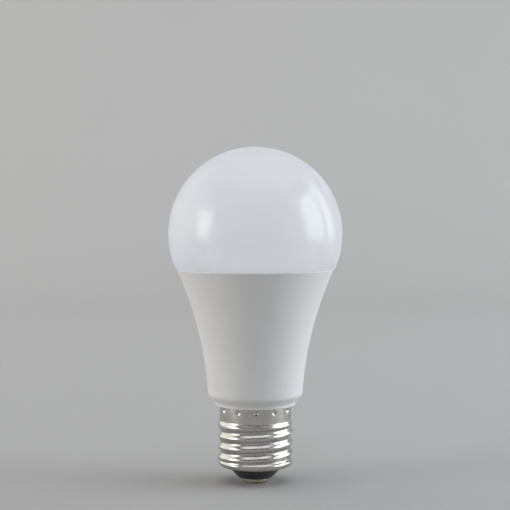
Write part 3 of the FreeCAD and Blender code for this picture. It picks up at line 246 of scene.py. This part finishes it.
OPAL = (0.882, 0.89, 0.925)
OPAL_THROUGH = (0.965, 0.97, 0.985)
OPAL_SHARE = 0.78  # share of the light that passes through the globe's wall
OPAL_RIM_SHARE = 0.93  # the same share at the seam, where the inside is white
OPAL_RIM_HEIGHT = 10.0
HOUSING = (0.74, 0.735, 0.73)
BOARD_CELL = 3.2
NICKEL = (0.60, 0.585, 0.55)
NICKEL_STAIN = (0.50, 0.48, 0.44)
NICKEL_CREST = (0.70, 0.685, 0.65)


class Look:
    """A node material under construction."""

    def __init__(self, name):
        self.material = bpy.data.materials.new(name)
        self.material.use_nodes = True
        self.tree = self.material.node_tree
        self.shader = self.tree.nodes["Principled BSDF"]
        self.output = self.tree.nodes["Material Output"]
        self.place = self.add("ShaderNodeTexCoord").outputs["Object"]

    def add(self, kind, settings=None, **inputs):
        node = self.tree.nodes.new(kind)
        for key, value in (settings or {}).items():
            setattr(node, key, value)
        for key, value in inputs.items():
            self.feed(node, key.replace("_", " "), value)
        return node

    def feed(self, node, socket, value):
        if isinstance(value, bpy.types.NodeSocket):
            self.tree.links.new(value, node.inputs[socket])
        else:
            node.inputs[socket].default_value = value

    def set(self, **inputs):
        for key, value in inputs.items():
            self.feed(self.shader, key.replace("_", " "), value)

    def noise(self, grain_mm, detail=3.0, stretch=None):
        """Noise whose grains are about this many millimetres across."""
        where = self.place
        if stretch:
            where = self.add("ShaderNodeMapping", Vector=where, Scale=stretch).outputs["Vector"]
        return self.add("ShaderNodeTexNoise", Vector=where, Scale=1 / (grain_mm * MM),
                        Detail=detail).outputs["Fac"]

    def ramp(self, value, from_low, from_high, low=0.0, high=1.0, ease="LINEAR"):
        """Map one range of a value to another, held at both ends."""
        node = self.add("ShaderNodeMapRange", {"interpolation_type": ease}, Value=value,
                        From_Min=from_low, From_Max=from_high, To_Min=low, To_Max=high)
        return node.outputs["Result"]

    def spread(self, value, low, high):
        """Map the middle of a noise to a range."""
        return self.ramp(value, NOISE_LOW, NOISE_HIGH, low, high)

    def blend(self, factor, below, above):
        """Mix of two colours, each a socket or three numbers."""
        node = self.add("ShaderNodeMix", {"data_type": "RGBA"}, Factor=factor)
        colour_in = [socket for socket in node.inputs if socket.type == "RGBA"]
        for socket, colour in zip(colour_in, (below, above)):
            if isinstance(colour, bpy.types.NodeSocket):
                self.tree.links.new(colour, socket)
            else:
                socket.default_value = (*colour, 1)
        return next(socket for socket in node.outputs if socket.type == "RGBA")

    def maths(self, operation, one, two=0.0):
        node = self.add("ShaderNodeMath", {"operation": operation})
        self.feed(node, 0, one)
        self.feed(node, 1, two)
        return node.outputs["Value"]

    def axis(self, letter):
        """Coordinate of the shaded point along one of the part's axes, in metres."""
        return self.add("ShaderNodeSeparateXYZ", Vector=self.place).outputs[letter]

    def bump(self, height, depth_mm, strength=1.0):
        node = self.add("ShaderNodeBump", Height=height, Strength=strength,
                        Distance=depth_mm * MM)
        self.feed(self.shader, "Normal", node.outputs["Normal"])
        return node.outputs["Normal"]


def shade(colour, factor):
    return tuple(min(1.0, part * factor) for part in colour)


def opal_outside():
    """Translucent opal skin: satin, with light from the far side coming through."""
    look = Look("opal_globe")
    cloud = look.spread(look.noise(14, detail=2), 0, 1)
    look.set(Base_Color=look.blend(cloud, OPAL, shade(OPAL, 0.985)), IOR=1.7,
             Specular_IOR_Level=1.0, Roughness=look.spread(look.noise(3), 0.21, 0.25),
             Coat_Weight=0.6, Coat_Roughness=0.09)
    normal = look.bump(look.noise(0.35, detail=4), 0.004, 0.35)
    through = look.add("ShaderNodeBsdfTranslucent", Normal=normal, Color=(*OPAL_THROUGH, 1))
    share = look.ramp(look.axis("Z"), SEAM_Z * MM, (SEAM_Z + OPAL_RIM_HEIGHT) * MM,
                      OPAL_RIM_SHARE, OPAL_SHARE, "SMOOTHSTEP")
    mix = look.add("ShaderNodeMixShader", Fac=share)
    look.feed(mix, 1, look.shader.outputs["BSDF"])
    look.feed(mix, 2, through.outputs["BSDF"])
    look.feed(look.output, "Surface", mix.outputs["Shader"])
    return look.material


def opal_inside():
    """Inner skin of the globe, which lets nearly all light pass to the outer one."""
    look = Look("opal_globe_inside")
    look.set(Base_Color=look.blend(look.noise(6), OPAL, shade(OPAL, 0.97)), Roughness=0.5,
             Alpha=0.1)
    return look.material


def moulded(name, colour, roughness, grain_mm=0.5, depth_mm=0.01, tone=0.97):
    """Moulded plastic or rubber: faint mottling, uneven gloss and a fine spark-eroded grain."""
    look = Look(name)
    mottle = look.spread(look.noise(9, detail=2), 0, 1)
    look.set(Base_Color=look.blend(mottle, colour, shade(colour, tone)),
             Roughness=look.spread(look.noise(2.5), roughness * 0.92, roughness * 1.08))
    look.bump(look.noise(grain_mm, detail=5), depth_mm, 0.5)
    return look.material


def metal(name, colour, roughness, brush=(1, 1, 0.05), scratch_mm=0.25, tone=0.85, tint=None):
    """Metal with drawn lines, cloudy tarnish and fine scratches."""
    look = Look(name)
    tarnish = look.spread(look.noise(5, detail=4), 0, 1)
    lines = look.noise(scratch_mm, detail=3, stretch=brush)
    rough = look.maths("ADD", look.spread(lines, roughness * 0.8, roughness * 1.2),
                       look.spread(look.noise(1.6), -0.03, 0.04))
    look.set(Base_Color=look.blend(tarnish, colour, tint or shade(colour, tone)),
             Roughness=rough, Metallic=1.0)
    look.bump(lines, 0.004, 0.4)
    return look.material


def printed_board(name, mask, copper, roughness=0.4):
    """Circuit board: copper areas with square outlines under the solder mask, and a weave."""
    look = Look(name)
    reach = [
        look.add("ShaderNodeTexVoronoi", {"feature": feature, "distance": "CHEBYCHEV"},
                 Vector=look.place, Scale=1 / (BOARD_CELL * MM)).outputs["Distance"]
        for feature in ("F1", "F2")
    ]
    from_edge = look.maths("SUBTRACT", reach[1], reach[0])
    inside = look.ramp(from_edge, 0.06, 0.10)
    weave = look.noise(0.3, stretch=(1, 0.2, 0.2))
    base = look.blend(inside, mask, copper)
    tinted = look.blend(look.spread(look.noise(4), 0.0, 0.25), base, shade(mask, 0.8))
    look.set(Base_Color=tinted,
             Roughness=look.spread(look.noise(1.5), roughness * 0.9, roughness * 1.15))
    look.bump(look.maths("ADD", inside, weave), 0.03, 0.4)
    return look.material


def wound(name, colour, groove_shade, wire_mm, axis="Z", roughness=0.3, metallic=0.0):
    """Close turns of wire or tape across an axis."""
    look = Look(name)
    wave = look.add("ShaderNodeTexWave", {"wave_type": "BANDS", "bands_direction": axis,
                                          "wave_profile": "SIN"},
                    Vector=look.place, Scale=0.314 / (wire_mm * MM), Distortion=0.4,
                    Detail=1.0)
    groove = wave.outputs["Fac"]
    # the valleys between turns are painted darker: painted shade in the grooves
    look.set(Base_Color=look.blend(groove, groove_shade, colour), Metallic=metallic,
             Roughness=look.spread(look.noise(0.8), roughness * 0.85, roughness * 1.2))
    look.bump(groove, wire_mm / 4, 0.8)
    return look.material


def phosphor(name, colour, speck):
    """Silicone filled with phosphor powder."""
    look = Look(name)
    grains = look.spread(look.noise(0.08, detail=2), 0, 1)
    look.set(Base_Color=look.blend(grains, colour, speck), Roughness=0.35,
             Subsurface_Weight=0.2, Subsurface_Scale=0.0005)
    look.bump(look.noise(0.15), 0.01, 0.4)
    return look.material


def clear_lens(name):
    """Clear epoxy with three small chips showing under it."""
    look = Look(name)
    cells = look.add("ShaderNodeTexVoronoi", Vector=look.place, Scale=1 / (1.1 * MM))
    chips = look.ramp(cells.outputs["Distance"], 0.22, 0.28)
    look.set(Base_Color=look.blend(chips, (0.35, 0.28, 0.12), (0.80, 0.84, 0.86)),
             Roughness=0.12, Coat_Weight=0.6)
    look.bump(look.noise(0.7), 0.01, 0.3)
    return look.material


def nickel_shell():
    """Nickel-plated rolled cap: warm grey, drawn round the axis, darker down in the thread."""
    look = Look("nickel_cap")
    across, along = look.axis("X"), look.axis("Y")
    squares = look.maths("ADD", look.maths("MULTIPLY", across, across),
                         look.maths("MULTIPLY", along, along))
    rise = look.ramp(look.maths("SQRT", squares), (ROOT_R - 0.05) * MM, CREST_R * MM)
    stain = look.spread(look.noise(6, detail=5), 0.0, 1.0)
    plate = look.blend(stain, NICKEL, NICKEL_STAIN)
    crest = look.maths("MULTIPLY", rise, look.spread(look.noise(0.6, detail=4), 0.1, 0.8))
    turns = look.noise(0.12, detail=3, stretch=(0.06, 0.06, 1))
    rough = look.maths("ADD", look.spread(turns, 0.19, 0.27),
                       look.spread(look.noise(2.2, detail=4), -0.03, 0.07))
    look.set(Base_Color=look.blend(crest, plate, NICKEL_CREST), Roughness=rough, Metallic=1.0)
    look.bump(look.maths("ADD", turns, look.noise(1.2)), 0.006, 0.35)
    return look.material


# --------------------------------------------------------------------------------------
# The visible pieces
# --------------------------------------------------------------------------------------
def globe():
    """Blown opal globe with its rounded seam edge, its shoulder and its spigot."""
    low_deg = -math.degrees(math.asin((GLOBE_Z - SEAM_Z) / GLOBE_R))
    edge_deg = low_deg + math.degrees(SEAM_ROUND * 1.3 / GLOBE_R)
    outer = arc((0, GLOBE_Z), GLOBE_R, 90, edge_deg, 150)
    outer[0] = (0.0, GLOBE_TOP)
    corner = fillet(outer[-1], (SEAM_R, SEAM_Z), (SPIGOT_R, SEAM_Z), SEAM_ROUND)
    inner_r = GLOBE_R - GLOBE_WALL
    rise = GLOBE_Z - SEAM_Z - SHOULDER
    inner_deg = -math.degrees(math.asin(rise / inner_r))
    inner = arc((0, GLOBE_Z), inner_r, inner_deg, 90, 90)
    inner[-1] = (0.0, GLOBE_Z + inner_r)
    spigot_bore = SPIGOT_R - SPIGOT_WALL
    foot = [
        (SPIGOT_R, SEAM_Z), (SPIGOT_R, SPIGOT_END + SPIGOT_CHAMFER),
        (SPIGOT_R - SPIGOT_CHAMFER, SPIGOT_END), (spigot_bore, SPIGOT_END),
        (spigot_bore, SEAM_Z + SHOULDER),
    ]
    profile = outer + corner + foot + inner
    piece = lathe("opal_dome", profile, CASING_COLUMNS)
    stand_for(piece, "diffuser_dome", "opal_diffuser", opal_outside(), opal_inside())
    inside_from = len(outer) + len(corner) + len(foot) - 1
    for index, polygon in enumerate(piece.data.polygons):
        if index // CASING_COLUMNS >= inside_from:
            polygon.material_index = 1


def flank_centre():
    """Middle of the arc of the housing's hollow side, from its two ends and its radius."""
    mouth, foot = Vector((MOUTH_R, SEAM_Z)), Vector((FOOT_R, FOOT_Z))
    chord = mouth - foot
    stand = math.sqrt(FLANK_R ** 2 - chord.length_squared / 4)
    outward = Vector((chord.y, -chord.x)).normalized()
    return (mouth + foot) / 2 + outward * stand


def flank_arc(centre, radius, from_z, to_z, steps):
    return [(centre.x - math.sqrt(radius ** 2 - (z - centre.y) ** 2), z)
            for z in np.linspace(from_z, to_z, steps)]


def housing():
    """Moulded housing: rounded rim, hollow flank, rounded foot, cone, lip and neck."""
    centre = flank_centre()
    cone_top = (FOOT_R, FOOT_Z)
    lip_top = (LIP_R, CAP_HEIGHT + LIP_HEIGHT)
    lip_low = (LIP_R, CAP_HEIGHT)
    rim_side = flank_arc(centre, FLANK_R, SEAM_Z, SEAM_Z - 1, 2)[1]
    rim = fillet((BORE_R, SEAM_Z), (MOUTH_R, SEAM_Z), rim_side, SEAM_ROUND)
    above_foot = flank_arc(centre, FLANK_R, FOOT_Z, FOOT_Z + 2, 2)[1]
    foot = fillet(above_foot, cone_top, lip_top, FOOT_ROUND, 18)
    flank = flank_arc(centre, FLANK_R, rim[-1][1] - 0.2, foot[0][1] + 0.15, 90)
    crease = fillet(cone_top, lip_top, lip_low, LIP_ROUND, 6)
    lip = fillet(lip_top, lip_low, (NECK_R, CAP_HEIGHT), LIP_ROUND, 8)
    inner = FLANK_R + HOUSING_WALL
    inside = flank_arc(centre, inner, FLOOR_Z, LEDGE_Z, 24)
    bore = NECK_R - NECK_WALL
    profile = (
        [(BORE_R, SEAM_Z)] + rim + flank + foot + crease + lip
        + [(NECK_R, CAP_HEIGHT), (NECK_R, NECK_Z), (bore, NECK_Z), (bore, FLOOR_Z)]
        + inside + [(BORE_R, LEDGE_Z)]
    )
    piece = lathe("white_housing", profile, CASING_COLUMNS)
    look = moulded("housing_plastic", HOUSING, 0.42, grain_mm=0.3, depth_mm=0.008, tone=0.985)
    stand_for(piece, "housing_shell", "white_housing", look)


def smooth_step(value):
    value = min(1.0, max(0.0, value))
    return value * value * (3 - 2 * value)


def thread_depth(height, angle):
    """How far the rolled groove lies below the crests, with both ends faded out."""
    turn = (height - THREAD_START) / PITCH - (angle - CRIMP_TURN) / (2 * math.pi)
    wave = (1 - math.cos(2 * math.pi * turn)) / 2
    fade_in = smooth_step((height - THREAD_LOW) / THREAD_FADE)
    fade_out = smooth_step((THREAD_HIGH - height) / THREAD_FADE)
    return (CREST_R - ROOT_R) * wave * fade_in * fade_out


def crimp_depth(height, angle):
    """Depth of the round punch marks in the plain band."""
    step = 2 * math.pi / CRIMP_COUNT
    off = (angle - CRIMP_TURN + step / 2) % step - step / 2
    away = math.hypot(off * BAND_R, height - CRIMP_Z) / CRIMP_R
    if away >= 1:
        return 0.0
    return CRIMP_DEPTH * (1 - away ** 2) ** 1.5


def screw_cap():
    """Rolled shell with its thread faded in and out, its crimped band and its turned foot."""
    band = line((BAND_R, CAP_HEIGHT), (BAND_R, SWELL_TOP), 64)
    swell = []
    for z in np.linspace(SWELL_TOP, SWELL_LOW, 12, endpoint=False):
        share = smooth_step((SWELL_TOP - z) / (SWELL_TOP - SWELL_LOW))
        swell.append((BAND_R + (CREST_R - BAND_R) * share, z))
    bend_z = SHELL_FOOT + FOOT_BEND
    threads = line((CREST_R, SWELL_LOW), (CREST_R, bend_z), 110)
    centre = (CREST_R - FOOT_BEND, bend_z)
    turned = arc(centre, FOOT_BEND, 0, -90, 14)
    hole = [(SHELL_HOLE_R + HOLE_EDGE, SHELL_FOOT), (SHELL_HOLE_R, SHELL_FOOT + HOLE_EDGE)]
    outer = band + swell + threads + turned + hole
    bore_r = CREST_R - SHELL_WALL
    inner = [(SHELL_HOLE_R, SHELL_FOOT + SHELL_WALL)]
    inner += arc(centre, FOOT_BEND - SHELL_WALL, -90, 0, 6)
    inner += line((bore_r, bend_z + 0.4), (bore_r, SWELL_LOW), 36)
    inner += [(BAND_R - SHELL_WALL, SWELL_TOP), (BAND_R - SHELL_WALL, CAP_HEIGHT)]

    def rolled(radius, height, angle, row):
        crimp = crimp_depth(height, angle) if row < len(outer) else 0.0
        return radius - thread_depth(height, angle) - crimp, height

    piece = lathe("rolled_cap", outer + inner, CAP_COLUMNS, shape=rolled, sharp_deg=50)
    stand_for(piece, "screw_shell", "cap_metal", nickel_shell())


def insulator():
    """Black insulator: stepped cone with a rounded shoulder, a hub and a flange."""
    cone_r = CONTACT_R + INSULATOR_STEP
    cone_z = CONTACT_HEIGHT + INSULATOR_FIT
    side_r = SHELL_HOLE_R - INSULATOR_FIT
    boss_r = CONTACT_R - CONTACT_WALL - INSULATOR_FIT
    rim_r = insulator_high.x
    seat_z = SHELL_FOOT + SHELL_WALL
    top_z = seat_z + INSULATOR_FLANGE
    hub_top = insulator_high.z
    funnel_z = cone_z + INSULATOR_WALL
    boss = [(HUB_BORE_R, CONTACT_WALL), (boss_r - 0.35, CONTACT_WALL), (boss_r, CONTACT_ROUND)]
    step = fillet((boss_r, cone_z), (cone_r, cone_z), (side_r, SHELL_FOOT), 0.3)
    middle = ((cone_r + side_r) / 2, (cone_z + SHELL_FOOT) / 2)
    groove = [(middle[0] + across, middle[1] + up) for across, up in INSULATOR_GROOVE]
    shoulder = fillet(middle, (side_r, SHELL_FOOT - 0.15), (side_r, seat_z), 0.25)
    flange = [(side_r, seat_z), (rim_r, seat_z), (rim_r, top_z), (side_r - 1.5, top_z)]
    hub = [
        (FUNNEL_R, funnel_z), (HUB_R, funnel_z), (HUB_R, hub_top), (HUB_BORE_R, hub_top),
    ]
    profile = boss + [(boss_r, cone_z)] + step + groove + shoulder + flange + hub
    piece = lathe("black_insulator", profile, 192)
    look = moulded("insulator_resin", (0.022, 0.022, 0.024), 0.28, 0.4, 0.006, tone=1.4)
    stand_for(piece, "cap_insulator", "insulator_black", look)


def contact():
    """Pressed contact with a rolled edge and a small staked dimple in its middle."""
    flat = CONTACT_R - CONTACT_ROUND
    outer = arc((flat, CONTACT_ROUND), CONTACT_ROUND, -90, 0, 10)
    inner = arc((flat, CONTACT_ROUND), CONTACT_ROUND - CONTACT_WALL, 0, -90, 6)
    rim = [
        (CONTACT_R, CONTACT_HEIGHT - CONTACT_EDGE), (CONTACT_R - CONTACT_EDGE, CONTACT_HEIGHT),
        (CONTACT_R - CONTACT_WALL, CONTACT_HEIGHT),
    ]
    profile = (CONTACT_DIMPLE + [(CONTACT_FLAT, 0.0)] + outer + rim + inner
               + [(0.0, CONTACT_WALL)])
    piece = lathe("contact_plate", profile, 128, closed=False)
    look = metal("contact_nickel", (0.70, 0.66, 0.56), 0.27, brush=(1, 1, 1), scratch_mm=0.5,
                 tint=(0.55, 0.48, 0.36))
    stand_for(piece, "centre_contact", "contact_metal", look)


# --------------------------------------------------------------------------------------
# Finishes of the CAD pieces inside
# --------------------------------------------------------------------------------------
def dress(look, *nodes):
    for name in nodes:
        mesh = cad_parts[name].data
        mesh.materials.clear()
        mesh.materials.append(look)


def dress_inside():
    """Give every CAD piece inside the lamp its own finish."""
    dress(moulded("sealant_silicone", (0.84, 0.84, 0.82), 0.45, 0.8, 0.03), "dome_sealant")
    dress(metal("drawn_aluminium", (0.76, 0.77, 0.78), 0.34, brush=(1, 1, 0.04)),
          "heat_sink_cup")
    dress(moulded("thermal_pad_silicone", (0.36, 0.40, 0.46), 0.7, 0.25, 0.02), "thermal_pad")
    dress(printed_board("led_board_mask", (0.86, 0.86, 0.84), (0.78, 0.78, 0.75)), "led_board")
    dress(moulded("led_package", (0.86, 0.86, 0.84), 0.4, 0.2, 0.005),
          "warm_white_leds", "cool_white_leds", "colour_leds")
    dress(phosphor("warm_phosphor", (0.85, 0.42, 0.07), (0.95, 0.60, 0.16)),
          "warm_white_lenses")
    dress(phosphor("cool_phosphor", (0.86, 0.72, 0.10), (0.93, 0.84, 0.30)),
          "cool_white_lenses")
    dress(clear_lens("colour_lens"), "colour_lenses")
    dress(metal("zinc_screw", (0.68, 0.69, 0.70), 0.3, brush=(1, 1, 1), scratch_mm=0.4),
          "board_screws")
    dress(metal("gold_flash", (0.86, 0.62, 0.25), 0.22, brush=(1, 1, 0.1)),
          "header_pins", "radio_pins", "radio_antenna")
    dress(moulded("socket_nylon", (0.80, 0.78, 0.70), 0.5, 0.4, 0.01), "led_socket")
    dress(metal("pin_nickel", (0.68, 0.65, 0.58), 0.3, brush=(1, 1, 0.1)), "contact_pin")
    dress(moulded("live_insulation", (0.52, 0.03, 0.02), 0.45, 0.3, 0.01), "live_lead")
    dress(metal("tinned_copper", (0.72, 0.72, 0.72), 0.32, brush=(1, 1, 0.1)),
          "neutral_lead", "capacitor_leads", "transformer_pins", "component_leads",
          "resistor_leads", "chip_legs")
    dress(printed_board("driver_mask", (0.015, 0.13, 0.05), (0.05, 0.24, 0.09)),
          "driver_board")
    dress(printed_board("radio_mask", (0.008, 0.02, 0.09), (0.02, 0.05, 0.17)),
          "radio_board")
    dress(metal("can_aluminium", (0.76, 0.77, 0.78), 0.28, brush=(1, 1, 0.05)),
          "input_capacitor_can", "output_capacitor_can")
    dress(moulded("can_rubber", (0.02, 0.02, 0.02), 0.6, 0.3, 0.02),
          "input_capacitor_plug", "output_capacitor_plug")
    dress(moulded("can_sleeve_film", (0.014, 0.018, 0.035), 0.25, 1.2, 0.01),
          "input_capacitor_sleeve", "output_capacitor_sleeve")
    dress(moulded("ferrite", (0.035, 0.034, 0.036), 0.55, 0.15, 0.03),
          "transformer_core", "choke_core")
    dress(moulded("bobbin_phenolic", (0.02, 0.018, 0.017), 0.35, 0.3, 0.01),
          "transformer_bobbin")
    dress(wound("winding_tape", (0.72, 0.48, 0.03), (0.50, 0.32, 0.02), 1.9, "Z"),
          "transformer_winding")
    dress(wound("enamelled_copper", (0.62, 0.22, 0.07), (0.16, 0.05, 0.02), 0.35, "Y", 0.25, 0.8),
          "choke_winding")
    dress(moulded("varistor_epoxy", (0.02, 0.09, 0.36), 0.3, 0.6, 0.03), "varistor")
    dress(moulded("film_case", (0.62, 0.40, 0.02), 0.35, 0.5, 0.01), "film_capacitor")
    dress(moulded("resistor_coat", (0.12, 0.22, 0.13), 0.55, 0.2, 0.03), "fusible_resistor")
    dress(moulded("heat_shrink", (0.018, 0.018, 0.018), 0.5, 0.5, 0.02), "resistor_sleeve")
    dress(moulded("chip_resin", (0.02, 0.02, 0.021), 0.5, 0.15, 0.01),
          "bridge_rectifier", "control_chip", "diodes", "chip_resistors")
    dress(moulded("chip_ceramic", (0.30, 0.19, 0.10), 0.5, 0.15, 0.01), "chip_capacitors")
    dress(metal("tinned_shield", (0.66, 0.67, 0.66), 0.3, brush=(0.1, 1, 1)), "radio_shield")


# --------------------------------------------------------------------------------------
# Stage, lights and camera
# --------------------------------------------------------------------------------------
CAMERA_DISTANCE = 0.440
CAMERA_HEIGHT = 0.09945
CAMERA_SIDE = -0.00012
CAMERA_TILT = math.radians(2.7)
CAMERA_LENS = 90.0
SENSOR = 36.0

WALL_PAINT = (0.53, 0.52, 0.50)
# darker tone of the floor in front of the wall: painted shade
FLOOR_PAINTED_SHADE = (0.395, 0.387, 0.375)
ROOM_TINT = (1.0, 0.99, 0.97)
ROOM_FRONT = 0.135  # strength straight behind the camera
ROOM_BACK = 0.02  # strength where the direction's Y has reached ROOM_FADE
ROOM_FADE = 0.6
LIGHTS = [
    # name, azimuth, elevation, distance, width and height in degrees, watts, colour
    ("left_softbox", -70, 12, 1.1, 21, 28, 4.1, (1.0, 0.99, 0.97)),
    ("left_wall", -110, 15, 1.2, 66, 60, 8.2, (1.02, 1.0, 0.97)),
    ("right_window", 85, 13, 1.3, 30, 50, 14.4, (0.88, 0.94, 1.0)),
    ("right_window_edge", 115, 13, 1.3, 16, 50, 5.7, (0.88, 0.94, 1.0)),
    ("ceiling", 0, 88, 1.5, 70, 70, 16.5, (0.93, 0.96, 1.04)),
    ("right_wall", 58, 6, 1.25, 30, 50, 1.4, (0.94, 0.97, 1.02)),
    ("front_wall", -8, 4, 1.3, 70, 30, 1.0, (1.0, 1.0, 1.0)),
]


def sweep():
    """Pale paper sweep: a floor just under the contact, a wide bend and a wall behind."""
    near, back, bend, top, half = -3.6, 1.3, 0.6, 2.2, 3.2
    floor = -0.0001
    outline = [(near, floor)]
    for angle in np.linspace(-90, 0, 24):
        a = math.radians(angle)
        outline.append((back - bend + bend * math.cos(a), floor + bend + bend * math.sin(a)))
    outline.append((back, top))
    verts = []
    faces = []
    for y, z in outline:
        verts += [(-half, y, z), (half, y, z)]
    for row in range(len(outline) - 1):
        low = 2 * row
        faces.append((low, low + 1, low + 3, low + 2))
    mesh = bpy.data.meshes.new("paper_sweep")
    mesh.from_pydata(verts, [], faces)
    mesh.shade_smooth()
    paper = bpy.data.objects.new("paper_sweep", mesh)
    bpy.context.scene.collection.objects.link(paper)
    look = Look("painted_sweep")
    mottle = look.spread(look.noise(180, detail=4), 0, 1)
    wall = look.blend(mottle, WALL_PAINT, shade(WALL_PAINT, 0.98))
    # painted shade: the sweep darkens from the wall colour at the back to a darker tone at and in
    # front of the bulb
    painted_shade_share = look.ramp(look.axis("Y"), 0.0, back, 1.0, 0.0)
    look.set(Base_Color=look.blend(painted_shade_share, wall, FLOOR_PAINTED_SHADE), Roughness=0.85)
    look.bump(look.noise(1.5, detail=4), 0.05, 0.3)
    mesh.materials.append(look.material)


def softbox(name, azimuth, elevation, distance, wide_deg, tall_deg, power, colour):
    """Area light aimed at the globe.  Azimuth is from the camera's side, right is positive."""
    turn, rise = math.radians(azimuth), math.radians(elevation)
    away = Vector((math.sin(turn) * math.cos(rise), -math.cos(turn) * math.cos(rise),
                   math.sin(rise)))
    lamp = bpy.data.lights.new(name, "AREA")
    lamp.shape = "RECTANGLE"
    lamp.size = 2 * distance * math.tan(math.radians(wide_deg / 2))
    lamp.size_y = 2 * distance * math.tan(math.radians(tall_deg / 2))
    lamp.energy = power
    lamp.color = colour
    light = bpy.data.objects.new(name, lamp)
    bpy.context.scene.collection.objects.link(light)
    light.location = Vector((0, 0, GLOBE_Z * MM)) + away * distance
    light.rotation_euler = away.to_track_quat("Z", "Y").to_euler()


def lights():
    """The softboxes, and a dim room that is brighter on the camera's side."""
    for entry in LIGHTS:
        softbox(*entry)
    world = bpy.data.worlds.new("room")
    bpy.context.scene.world = world
    world.use_nodes = True
    tree = world.node_tree
    background = tree.nodes["Background"]
    place = tree.nodes.new("ShaderNodeTexCoord")
    split = tree.nodes.new("ShaderNodeSeparateXYZ")
    ramp = tree.nodes.new("ShaderNodeMapRange")
    ramp.inputs["From Min"].default_value = -1.0
    ramp.inputs["From Max"].default_value = ROOM_FADE
    ramp.inputs["To Min"].default_value = ROOM_FRONT
    ramp.inputs["To Max"].default_value = ROOM_BACK
    tree.links.new(place.outputs["Generated"], split.inputs["Vector"])
    tree.links.new(split.outputs["Y"], ramp.inputs["Value"])
    tree.links.new(ramp.outputs["Result"], background.inputs["Strength"])
    background.inputs["Color"].default_value = (*ROOM_TINT, 1)


def camera():
    lens = bpy.data.cameras.new("camera")
    lens.lens = CAMERA_LENS
    lens.sensor_width = SENSOR
    lens.clip_start = 0.01
    eye = bpy.data.objects.new("camera", lens)
    bpy.context.scene.collection.objects.link(eye)
    eye.location = (CAMERA_SIDE, -CAMERA_DISTANCE, CAMERA_HEIGHT)
    eye.rotation_euler = (math.radians(90) - CAMERA_TILT, 0, 0)
    bpy.context.scene.camera = eye


camera()
lights()
sweep()
globe()
housing()
screw_cap()
insulator()
contact()
dress_inside()

bpy.context.scene.view_settings.view_transform = "Standard"
bpy.context.view_layer.update()
